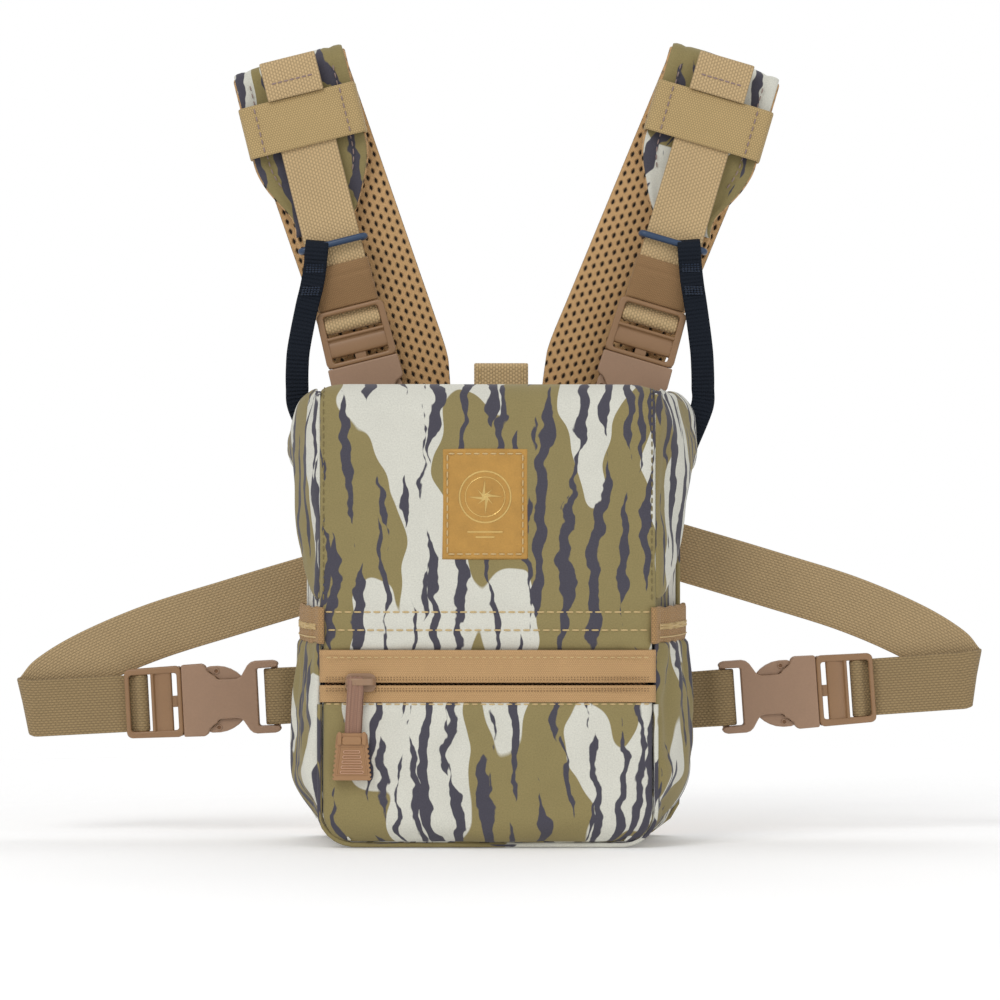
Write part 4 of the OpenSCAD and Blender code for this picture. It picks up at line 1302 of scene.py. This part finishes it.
def back_panel():
    """Padded back: mesh towards the wearer, camouflage binding round its edge."""
    low, high = PAD_LOW, PAD_HIGH
    width, height = high.x - low.x, high.z - low.z

    def outline(s, t):
        f = 2 * s - 1
        z = mix(low.z, high.z, t)
        cut = 11.2 * (1 - min(1.0, (z - low.z) / 14.0)) ** 2
        cut += 4.0 * (1 - min(1.0, (high.z - z) / 6)) ** 2
        return f * (high.x - cut), z

    def surface(s, t):
        x, z = outline(1 - s, t)
        return Vector((x, (low.y + high.y) / 2 + 0.2, z))

    def channels(s, t):
        x = abs(2 * s - 1) * width / 2
        return quilted(x - 22, 1.6, 5) + quilted(x - 70, 0.8, 3) + \
            0.5 * noise.noise(Vector((s * 5, t * 5, 50)))

    piece = slab("back_panel_mesh", surface, width, height, high.y - low.y - 1.0, "open_mesh",
                 crown=0.6, soft=4.0, cell=3.4, relief=channels)
    puff(piece, pressure=2.0, cap=1.0, grow=0.004)
    rim = [outline(1.0, k / 32) for k in range(33)]
    loop = [Vector((x + 0.2, high.y - 2.6, z)) for x, z in rim]
    loop += [Vector((-x - 0.2, high.y - 2.6, z)) for x, z in reversed(rim)]
    binding = tube("back_binding", loop, 1.5, "camo", sides=10, loop=True)
    hand_in(piece, "pack", "spacer_mesh", "back_pad")
    hand_in(binding, "pack", "camo_fabric")


def yoke():
    """Patch that gathers pads and waist webbing behind the pack."""
    low, high = box("back_yoke")
    height = high.z - low.z

    def surface(s, t):
        z = mix(low.z, high.z, t)
        half = mix(30, high.x, smooth(t * 1.25)) - 6 * smooth((t - 0.86) / 0.14)
        return Vector(((1 - 2 * s) * half, (low.y + high.y) / 2 + 0.9 * (2 * s - 1) ** 2, z))

    piece = slab("yoke_patch", surface, high.x * 2, height, 2.6, "webbing", crown=0.6, soft=2.0,
                 cell=3.0)
    line = []
    for s, t0, t1 in ((0.03, 0.03, 0.97), (0.97, 0.97, 0.03)):
        line += [(surface(s, mix(t0, t1, k / 20)) - OUT * 1.7, -OUT) for k in range(21)]
    threads = stitches("yoke_threads", [line + line[:1]], "thread", pitch=3.4, length=2.5, radius=0.26)
    hand_in(piece, "pack", "webbing", "back_yoke")
    hand_in(threads, "pack", "webbing")


def magnets(node, body):
    """A bar magnet near each end of its node."""
    low, high = box(node)
    half = 10.0
    bar = round_rectangle(half - 0.1, -0.95, 0.95, 0.5, 4)
    parts = []
    for centre in (low.x + half, high.x - half):
        def place(w, y, u, centre=centre):
            return Vector((centre + w, y, (low.z + high.z) / 2 + u))

        parts.append(prism("magnet", bar, place, low.y + 0.05, high.y - 0.05, "metal", 0.2, 2))
    hand_in(join(f"{node}_bars", parts), body, "magnet", node)


# ---------------------------------------------------------------- buckles


SOCKET_HALF = [(15.9, 0.0), (16.1, -8.8), (15.8, -10.0), (14.9, -10.8), (13.0, -11.6), (11.6, -13.2),
               (10.6, -14.8), (9.4, -15.6), (8.9, -16.6), (8.8, -20.0), (8.8, -24.2), (9.2, -25.8),
               (10.4, -26.9), (12.2, -28.0), (14.4, -29.4), (15.6, -30.8), (16.1, -32.6),
               (16.1, -40.6), (15.6, -42.4), (14.4, -43.3), (13.2, -42.6), (12.9, -40.0),
               (12.8, -34.4), (12.4, -33.5)]
CORE_HALF = [(8.4, -26.3), (10.2, -28.0), (12.2, -29.1), (14.1, -30.5), (15.3, -32.0), (15.5, -40.4),
             (14.6, -42.6), (13.5, -42.0), (13.3, -34.4), (12.6, -33.0)]


def socket(buckle):
    """Front and rear plates over a waisted core, side rails and the webbing's bar."""
    outline, place = both_sides(SOCKET_HALF), buckle.at
    parts = [prism("front", outline, place, -4.0, -2.3, "plastic", 0.75, 3),
             prism("rear", outline, place, 2.3, 4.0, "plastic", 0.75, 3),
             prism("core", both_sides(CORE_HALF), place, -2.6, 2.6, "plastic", 0.0)]
    for sign in (-1, 1):
        rail = [(sign * 14.95, -0.3), (sign * 15.75, -0.3), (sign * 15.9, -9.4), (sign * 14.95, -9.4)]
        parts.append(prism("rail", rail, place, -2.6, 2.6, "plastic", 0.0))
    bar = [place(w, 0, -41.4) for w in (-13.6, -7, 0, 7, 13.6)]
    parts.append(tube("bar", bar, 1.55, "plastic", sides=14))
    hand_in(join(f"{buckle.key}_socket_shell", parts), "pack", "buckle_plastic",
            f"{buckle.key}_socket")


def plug(buckle):
    """Frame with rounded rails, cam bar, ladder bar and guide."""
    place = buckle.at
    outer = round_rectangle(15.9, 0.1, 25.4, 2.6, 6)
    hole = round_rectangle(12.7, 2.2, 23.3, 1.2, 6)
    taper = [(w * (1 - 0.035 * u / 25), u) for w, u in outer]
    parts = [prism("frame", taper, place, -3.5, -0.3, "frame", 0.8, 3,
                   [(w * (1 - 0.02 * u / 25), u) for w, u in hole])]
    for sign in (-1, 1):
        rail = [(sign * 15.5, 0.3), (sign * 15.2, 20.5), (sign * 14.6, 23.0), (sign * 13.0, 23.0),
                (sign * 13.0, 0.3)]
        parts.append(prism("rail", rail, place, -1.0, 3.4, "frame", 0.7, 2))
    parts.append(prism("base", [(-14, 0.2), (14, 0.2), (14, 2.0), (-14, 2.0)], place, -1.0, 3.2,
                       "frame", 0.3, 2))

    def across(y, w, u):
        """The cam's outline lies in y and u, and runs across the frame."""
        return place(w, y, u)

    cam = [(0.6, 4.8), (-1.4, 4.3), (-2.5, 4.8), (-3.0, 6.2), (-2.8, 9.6), (-2.3, 11.2), (-2.5, 12.0),
           (-3.5, 12.5), (-3.7, 13.2), (-3.2, 13.8), (0.6, 13.8)]
    parts.append(prism("cam", cam, across, -12.95, 12.95, "frame", 0.25, 2))
    parts.append(tube("ladder", [place(w, 0, 18.2) for w in (-13.6, -6, 0, 6, 13.6)], 1.55, "frame",
                      sides=14))
    guide = [(-2.5, -17.5), (2.5, -17.5), (2.5, 5.4), (-2.5, 5.4)]
    parts.append(prism("guide", guide, place, -1.8, 1.6, "frame", 0.3, 2))
    hand_in(join(f"{buckle.key}_plug_body", parts), f"{buckle.key}_strap", "buckle_plastic",
            f"{buckle.key}_plug")


def latch(buckle, arm, sign):
    """Thin stem that swells into a leaf-shaped wing with a thumb dimple.

    The wing is thinner than the socket's cavity, so it goes in between the plates when squeezed."""
    place = buckle.at
    stem = [(12.4, -0.3), (14.1, -0.3), (14.2, -10.4), (14.3, -12.6), (12.6, -13.0), (12.1, -10.9)]
    leaf = [(14.2, -10.9), (14.75, -12.6), (14.8, -16.0), (14.3, -19.2), (13.2, -22.0), (11.7, -24.4),
            (10.2, -26.0), (9.2, -26.5), (8.5, -25.6), (8.4, -17.0), (10.2, -14.6), (12.2, -12.6),
            (12.4, -10.9)]
    stem = [(w * sign, u) for w, u in stem]
    leaf = [(w * sign, u) for w, u in leaf]

    def thumb(radius):
        return circle(radius, 20, sign * 12.5, -15.6)

    parts = [prism("stem", stem, place, -1.95, 1.95, "plastic", 0.3, 2),
             prism("leaf", leaf, place, -2.15, 2.15, "plastic", 0.7, 3),
             prism("rim", thumb(1.35), place, -2.65, -1.9, "plastic", 0.2, 2, thumb(0.8)),
             # the pit is a thin disc of the darker zip-coil plastic: painted shade in the thumb dimple
             prism("pit", thumb(0.9), place, -2.25, -2.0, "coil", 0.0)]
    node = f"{buckle.key}_{arm}_latch"
    hand_in(join(f"{buckle.key}_{arm}_arm", parts), node, "buckle_plastic", node)


def anchor(buckle, material):
    """Webbing looped round the socket's bar and sewn down behind the pack."""
    low, high = box(f"{buckle.key}_anchor")
    if "waist" in buckle.key:
        length = (high.x - low.x) - 4
    else:
        length = (high.z - low.z) / abs(buckle.u.z) - 10
    sewn, end = BACK_Y + 0.3 - buckle.mouth.y, -41.5 - length
    rows = [(sewn + 0.65, end), (sewn + 0.65, -52.0), (-2.3, -45.0), (-2.4, -41.4), (-1.7, -38.3),
            (0.0, -37.1), (1.7, -38.3), (2.4, -41.4), (2.4, -45.5), (sewn + 1.95, -53.0),
            (sewn + 1.95, end)]
    stations = [(buckle.at(0, y, u), buckle.w * 12.5) for y, u in rows]
    piece = strip(f"{buckle.key}_anchor_webbing", stations, WEB, material, gap=0.8, columns=10)
    hand_in(piece, "pack", "webbing", f"{buckle.key}_anchor")


# ---------------------------------------------------------------- shoulder straps


class Strap:
    """Measures of one shoulder strap, taken from its nodes."""

    def __init__(self, key, sign):
        self.key, self.sign, self.buckle = key, sign, BUCKLES[f"{key}_shoulder"]
        self.at = self.buckle.at
        self.body = f"{key}_shoulder_strap"

    def along(self, node):
        """How far up the strap the middle of one of its nodes is."""
        low, high = box(f"{self.key}_{node}")
        return ((low + high) / 2 - self.buckle.mouth).dot(self.buckle.u)


RUN_Y = -3.1        # middle of the doubled webbing above the sleeve, from the buckle's plane
TOP_U = 140.0       # fold of the pad
TAIL_U = 137.2      # fold of the webbing's tail
PAD_HALF = 25.0
LADDER_TURN = [(2.5, 22), (2.45, 18.2), (1.7, 16.4), (0, 15.7), (-1.7, 16.4), (-2.45, 18.2),
               (-1.7, 20.0), (-0.4, 21.2)]      # depth and height of webbing round a plug's bars


def shoulder_webbing(strap):
    """Webbing up from the ladder bar in two layers, its tail folded over the sewn end."""
    layer = 0.68
    rear, front = RUN_Y + layer, RUN_Y - layer
    rows = [(rear, TAIL_U - 4), (rear, 90), (rear, 50), (-0.6, 36), (1.9, 27), *LADDER_TURN,
            (0.7, 23.6), (0.9, 27), (-1.9, 36), (front, 50), (front, 90), (front, 121),
            (front - 0.2, TAIL_U - 2), (front - 1.0, TAIL_U + 1.6), (front - 2.2, TAIL_U + 0.4),
            (front - 2.9, TAIL_U - 5), (front - 3.6, TAIL_U - 11), (front - 3.5, TAIL_U - 15.5)]
    stations = [(strap.at(0, y, u), strap.buckle.w * WEB_HALF) for y, u in rows]
    piece = strip(f"{strap.key}_shoulder_web", stations, WEB, "webbing", gap=0.9, columns=16)
    line = [(strap.at(w, front - 3.9, TAIL_U - 8.2), OUT) for w in (-9.5, -3, 3, 9.5)]
    threads = stitches(f"{strap.key}_tail_threads", [line], "mauve_thread", pitch=2.5, length=2.1,
                       radius=0.3)
    hand_in(piece, strap.body, "webbing", f"{strap.key}_shoulder_webbing")
    hand_in(threads, strap.body, "webbing")


def shoulder_pad(strap):
    """Padded strap: camouflage outside and mesh inside, folded over at the top."""
    b = strap.buckle
    low, high = box(f"{strap.key}_shoulder_pad")
    front_mid, rear_mid = 4.6, high.y - 2.5 - b.mouth.y
    radius = (rear_mid - front_mid) / 2
    centre_y = (rear_mid + front_mid) / 2
    fold_u = TOP_U - radius - 2.5
    pivot = strap.at(0, 0, fold_u)
    # the back half runs from the fold to the yoke, at its own lean
    back_lean = math.radians(22.5 if strap.sign > 0 else 19.0) * strap.sign
    down = Vector((-math.sin(back_lean), 0, -math.cos(back_lean)))
    across = Vector((-down.z, 0, down.x))
    length = (pivot.z - low.z - 8) / math.cos(back_lean)

    def width(u):
        return mix(12.5, PAD_HALF, smooth((u - 62) / 34) ** 0.8)

    def forward(u):
        """The pad keeps back along the ring's travel and swells towards the webbing above it."""
        return 0.9 - 2.5 * smooth((u - 82) / 15)

    front = []
    for u in (61, 64, 70, 78, 86, 94, 102, 112, 120, fold_u - 4):
        slant = 3.0 * strap.sign * smooth((70 - u) / 10)
        front.append((strap.at(slant, front_mid + forward(u), u), b.w * width(u)))
    arc_part = []
    for k in range(9):
        a = math.pi * k / 8
        lead = forward(fold_u) * (1 - k / 8)
        tilt = b.w.lerp(across, k / 8).normalized()
        arc_part.append((pivot + Vector((0, centre_y - radius * math.cos(a) + lead, 0))
                         + b.u * radius * math.sin(a), tilt * PAD_HALF))
    back = [(pivot + down * d + Vector((0, centre_y + radius, 0)),
             across * PAD_HALF * (1 - 0.34 * smooth((d - length + 42) / 42)))
            for d in (6, 20, 40, 60, 80, 100, 120, 140, 150, length - 6, length)]

    def lift(stations, amount):
        """The stations moved outwards by amount."""
        centres = [centre for centre, _ in stations]
        return [(centre + half.cross(heading(centres, i)).normalized() * amount, half)
                for i, (centre, half) in enumerate(stations)]

    def pillow(a, v):
        seam = quilted((abs(a) - 0.76) * PAD_HALF, 0.55, 1.2)
        swell = 0.5 * noise.noise(Vector((a * 2, v / 22, strap.sign * 5)))
        return 0.9 * (1 - a * a) - 0.5 + seam + swell

    def valley(a, v):
        return 1.3 * (1 - a * a) - 0.9 - 2.0 * math.exp(-((a - 0.1 * strap.sign) / 0.16) ** 2)

    upper = front + arc_part
    skin = strip(f"{strap.key}_pad_camo", lift(upper, 1.4), 2.2, "camo", gap=2.2, columns=22,
                 relief=pillow, offset=(300 + 100 * strap.sign, 0))
    lining_front = [(p, h * 1.035) for p, h in lift(upper, -1.0)]
    lining_front.insert(0, (lining_front[0][0] - b.u * 8, lining_front[0][1] * 0.93))
    mesh_front = strip(f"{strap.key}_pad_mesh", lining_front, 2.2, "open_mesh", gap=2.2, columns=22,
                       relief=lambda a, v: 0.3 * (1 - a * a))
    rear = [arc_part[-1]] + back
    rear_skin = strip(f"{strap.key}_pad_camo_back", lift(rear, 1.5), 2.0, "camo", gap=2.5, columns=22,
                      relief=pillow, offset=(300 + 100 * strap.sign, 96))
    rear_mesh = strip(f"{strap.key}_pad_mesh_back", [(p, h * 1.02) for p, h in lift(rear, -0.9)], 2.6,
                      "open_mesh", gap=2.5, columns=26, relief=valley)
    rows = [[(strap.at(side * (width(u) - 6.0), front_mid + forward(u) - 3.0, u), OUT)
             for u in range(84, 133, 2)] for side in (-1, 1)]
    threads = stitches(f"{strap.key}_pad_threads", rows, "mauve_thread", pitch=3.4, length=2.4,
                       radius=0.24)
    hand_in(skin, strap.body, "camo_fabric", f"{strap.key}_shoulder_pad")
    hand_in(mesh_front, strap.body, "spacer_mesh")
    hand_in(threads, strap.body, "webbing")
    for made, slot in ((rear_skin, "camo_fabric"), (rear_mesh, "spacer_mesh")):
        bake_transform(made)


def keeper(strap):
    """Wide elastic round the pad and the webbing's tail."""
    middle, reach = strap.along("strap_keeper"), 11.5
    half = PAD_HALF + 1.0
    y0, y1 = RUN_Y - 2.4, 8.0
    outline = [(-half, y0 + 2.2), (-half + 1.6, y0 + 0.6), (-half + 5, y0 + 0.3), (-14, y0 - 0.1),
               (0, y0 - 0.2), (14, y0 - 0.1), (half - 5, y0 + 0.3), (half - 1.6, y0 + 0.6),
               (half, y0 + 2.2), (half + 0.2, (y0 + y1) / 2), (half, y1 - 1.5), (half - 3, y1),
               (0, y1 + 0.3), (-half + 3, y1), (-half, y1 - 1.5), (-half - 0.2, (y0 + y1) / 2)]
    stations = [(strap.at(a, y, middle), strap.buckle.u * reach) for a, y in outline]
    piece = strip(f"{strap.key}_keeper_elastic", stations, 1.2, "elastic", gap=1.0, columns=14,
                  loop=True)
    ends = (middle - reach + 1, middle + reach - 1)
    rows = [[(strap.at(w, y0 - 0.45, u), OUT) for u in ends] for w in (-19.5, 19.5)]
    threads = stitches(f"{strap.key}_keeper_threads", rows, "mauve_thread", pitch=3.2, length=2.2,
                       radius=0.26, lift=0.3)
    hand_in(piece, strap.body, "elastic", f"{strap.key}_strap_keeper")
    hand_in(threads, strap.body, "elastic")


def sleeve(strap):
    """Smooth narrow sleeve over both layers of webbing, with a hem along its top."""
    low, reach = strap.along("webbing_sleeve") - 10.5, 19.0

    def depth(u):
        return mix(1.5, RUN_Y, smooth((u - 23) / 24))

    half = strap.buckle.w * 13.6
    stations = [(strap.at(0, depth(u), u), half * (1 + 0.012 * math.sin(u)))
                for u in [low + reach * k / 8 for k in range(9)]]

    def hem(a, v):
        return quilted(v - 14.5, 0.3, 0.6) + 0.25 * math.sin(a * 5) * smooth(1 - v / 12)

    piece = strip(f"{strap.key}_sleeve_elastic", stations, 4.9, "sleeve", gap=0.7, columns=14,
                  relief=hem)
    hand_in(piece, strap.body, "elastic", f"{strap.key}_webbing_sleeve")


RING_FRONT = -7.9               # depth of the ring's front bar from the buckle's plane


def ring(strap):
    """Slim ring with rounded corners round both layers of webbing."""
    rear, half, r = -0.2, 14.4, 1.9
    centres = ((half - r, RING_FRONT + r), (half - r, rear - r), (-half + r, rear - r),
               (-half + r, RING_FRONT + r))
    height = strap.along("tether_ring")
    path = []
    for quarter, centre in enumerate(centres):
        path += [strap.at(x, y, height) for x, y in arc(centre, r, 90 * quarter - 90, 90 * quarter, 6)]
    piece = tube(f"{strap.key}_ring", path, 1.5, "ring", sides=12, loop=True)
    hand_in(piece, f"{strap.key}_tether", "navy_plastic", f"{strap.key}_tether_ring")


def tether(strap):
    """Ribbed tape looped over the ring's front bar, sewn back on itself, ending in a sewn eye."""
    eye = next(m for m in frame["record"]["mounts"] if m["name"] == f"{strap.key}_tether_eye")
    eye_at = Vector(eye["pos_m"]) / MM
    bar = strap.at(7.3 * strap.sign, RING_FRONT, strap.along("tether_ring"))
    drop = bar.z - eye_at.z
    bow = 4.2 if strap.sign < 0 else 2.4            # how far the tape stands off to the side

    def middle(d):
        """x of the tape, a distance d below the ring's bar."""
        f = d / drop
        out = bow * math.sin(math.pi * min(1.0, max(0.0, (f - 0.12) / 0.88))) ** 1.3
        tucked = 7.5 * smooth((d - drop + 20) / 24)     # the end curves in behind the pack's corner
        return mix(bar.x, eye_at.x, f) + strap.sign * (out - tucked)

    def across(d):
        slope = (middle(d + 2) - middle(d - 2)) / 4
        return Vector((1, 0, slope)).normalized() * 5.1

    def station(d, y):
        return Vector((middle(d), y, bar.z - d)), across(d)

    r = 2.05
    rows = [(25, r + 0.1), (14, r), (3, r), (0.2, r), (-1.8, 1.2), (-2.4, 0), (-1.8, -1.2), (0.2, -r),
            (4, -r), (9, -0.6), (18, 0.6), (27, 1.4), (44, 1.6)]
    stations = [station(d, bar.y + y) for d, y in rows]
    for f in (0.25, 0.5, 0.75):
        stations.append(station(mix(44, drop - 8, f), mix(bar.y + 1.6, eye_at.y - 3.1, smooth(f))))
    reach = 3.15                # radius of the tape round the eye
    for a in (180, 225, 270, 315, 360, 405, 450, 495, 520):
        a = math.radians(a)
        stations.append(station(drop - reach * math.sin(a), eye_at.y + reach * math.cos(a)))
    stations.append(station(drop - 9, eye_at.y - 1.4))

    def ribs(a, v):
        return 0.36 * math.sin(2 * math.pi * v / 1.75)

    piece = strip(f"{strap.key}_tether_tape", stations, 1.0, "navy", gap=0.5, columns=6, relief=ribs)
    lines = []
    for centre, y in ((9.5, -0.9), (19.5, -0.1)):
        for z in (-1.6, -0.6, 0.4, 1.4):
            spot = station(centre + z, bar.y + y)[0]
            lines.append([(spot + Vector((w, 0, 0)), OUT) for w in (-4, 0, 4)])
    threads = stitches(f"{strap.key}_tether_threads", lines, "navy_thread", pitch=1.3, length=1.1,
                       radius=0.3)
    hand_in(piece, f"{strap.key}_tether", "navy_webbing", f"{strap.key}_tether")
    hand_in(threads, f"{strap.key}_tether", "navy_webbing")


# ---------------------------------------------------------------- waist straps


def waist_webbing(key, sign):
    """Loop round the ladder bar, two layers out, a U-turn, and the run back to the yoke."""
    buckle, body = BUCKLES[f"{key}_waist"], f"{key}_waist_strap"
    half = buckle.w * WEB_HALF
    front_y = 1.15
    turn_u = 69.0               # where the strap turns back
    rows = [(front_y + 1.35, 57), (front_y + 1.35, 27), *LADDER_TURN, (0.75, 24), (front_y, 28),
            (front_y, 45), (front_y, 58), (front_y, turn_u - 4)]
    stations = [(buckle.at(0, y, u), half) for y, u in rows]
    tilt = Vector((0.36 * sign, 0, 1)).normalized() * WEB_HALF
    turned = -1 if half.z < 0 else 1
    start = buckle.at(0, 0, turn_u)
    rear = box(f"{key}_waist_webbing")[1].y - 0.7
    r = (rear - buckle.mouth.y - front_y) / 2
    for k in range(1, 9):
        a = math.pi * k / 8
        lean = (half * turned).lerp(tilt, k / 8).normalized() * WEB_HALF
        out = sign * (r * 1.25 * math.sin(a) - 3.2 * (1 - k / 8))
        stations.append((start + Vector((out, front_y + r * (1 - math.cos(a)), 0.25 * k)),
                         lean * turned))
    base = Vector((start.x, rear, start.z + 2.0))
    way = ((0, 0), (9, 9), (27, 20), (55, 32), (90, 43), (120, 52), (148, 60), (172, 66))
    spots = [base + Vector((-sign * x, 0, z)) for x, z in way]
    run = []
    for i, spot in enumerate(spots):
        ahead = heading(spots, i)
        normal = Vector((ahead.z, 0, -ahead.x)).normalized()
        normal = normal if normal.z > 0 else -normal
        lean = tilt.lerp(normal * WEB_HALF, smooth(i / 2)).normalized() * WEB_HALF
        run.append((spot, lean * turned))
    near = strip(f"{key}_waist_web", stations, WEB, "belt", gap=0.9, columns=14)
    # the far run takes the lighter copy of the belt webbing, painted light
    far = strip(f"{key}_waist_web_back", [stations[-1]] + run[1:], WEB, "belt_painted_light", gap=2.0,
                columns=14)
    hand_in(near, body, "webbing", f"{key}_waist_webbing")
    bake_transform(far)


# ---------------------------------------------------------------- studio


def studio():
    """Camera straight in front, pale floor that fades out, white surroundings and three soft lights."""
    scene = bpy.context.scene
    camera = bpy.data.objects.new("camera", bpy.data.cameras.new("camera"))
    scene.collection.objects.link(camera)
    camera.location = (0.0029, -2.0, 0.148)         # these and the lens frame it as in the photo
    camera.rotation_euler = (math.pi / 2, 0, 0)
    camera.data.sensor_width = 36
    camera.data.lens = 165.5
    scene.camera = camera

    s = Shader("floor", roughness=0.9, specular=0.05)
    s.done(srgb(250, 250, 250))
    s.surface.inputs["Emission Color"].default_value = (1, 1, 1, 1)
    s.surface.inputs["Emission Strength"].default_value = 0.11      # lifts it towards white
    away = s.node("ShaderNodeVectorMath", s.point(), operation="LENGTH").outputs["Value"]
    clear = s.node("ShaderNodeBsdfTransparent").outputs[0]
    blend = s.node("ShaderNodeMixShader", s.step(away, 0.55, 0.5), s.surface.outputs[0], clear)
    s.links.new(blend.outputs[0], s.nodes["Material Output"].inputs[0])
    mesh = bpy.data.meshes.new("floor")
    size = 1.6                  # half the floor's width, in metres
    mesh.from_pydata([(-size, -size, 0), (size, -size, 0), (size, size, 0), (-size, size, 0)], [],
                     [(0, 1, 2, 3)])
    mesh.materials.append(s.material)
    floor = bpy.data.objects.new("floor", mesh)
    floor.location.z = -0.0006                      # clear of the pack's underside
    scene.collection.objects.link(floor)

    world = bpy.data.worlds.new("studio")
    world.use_nodes = True
    nodes, links = world.node_tree.nodes, world.node_tree.links
    seen = nodes.new("ShaderNodeLightPath").outputs["Is Camera Ray"]
    strength = nodes.new("ShaderNodeMapRange")      # plain white behind, softer as a light
    strength.inputs["To Min"].default_value = 0.62
    strength.inputs["To Max"].default_value = 1.0
    links.new(seen, strength.inputs["Value"])
    links.new(strength.outputs[0], nodes["Background"].inputs["Strength"])
    nodes["Background"].inputs["Color"].default_value = (1, 1, 1, 1)
    scene.world = world
    scene.view_settings.view_transform = "Standard"

    for name, place, power, size in (("key", (-0.7, -1.3, 1.3), 11, 0.8),
                                     ("fill", (1.0, -1.2, 0.5), 3, 1.2),
                                     ("rim", (0.2, 1.2, 1.1), 6, 1.0)):
        light = bpy.data.lights.new(name, "AREA")
        light.energy = power
        light.size = size
        lamp = bpy.data.objects.new(name, light)
        lamp.location = place
        aim = Vector((0, 0, 0.14)) - Vector(place)
        lamp.rotation_euler = aim.to_track_quat("-Z", "Y").to_euler()
        scene.collection.objects.link(lamp)


# ---------------------------------------------------------------- build


cover_threads(cover())
lid_lining()
wing("left", -1)
wing("right", 1)
patch()
pull_tab()
zip_fastener()
zip_slider()
zip_pull()
pocket_front()
for key, sign in (("left", -1), ("right", 1)):
    body_side(key, sign)
    side_pocket(key, sign)
bottom()
inner_walls()
back_panel()
yoke()
magnets("body_magnets", "pack")
magnets("lid_magnets", "lid")

for buckle in BUCKLES.values():
    socket(buckle)
    plug(buckle)
    anchor(buckle, "belt" if "waist" in buckle.key else "webbing")
for buckle in BUCKLES.values():
    latch(buckle, buckle.arms[0], buckle.sign)
    latch(buckle, buckle.arms[1], -buckle.sign)
for key, sign in (("left", -1), ("right", 1)):
    strap = Strap(key, sign)
    shoulder_webbing(strap)
    shoulder_pad(strap)
    keeper(strap)
    sleeve(strap)
    ring(strap)
    tether(strap)
waist_webbing("left", -1)
waist_webbing("right", 1)

studio()
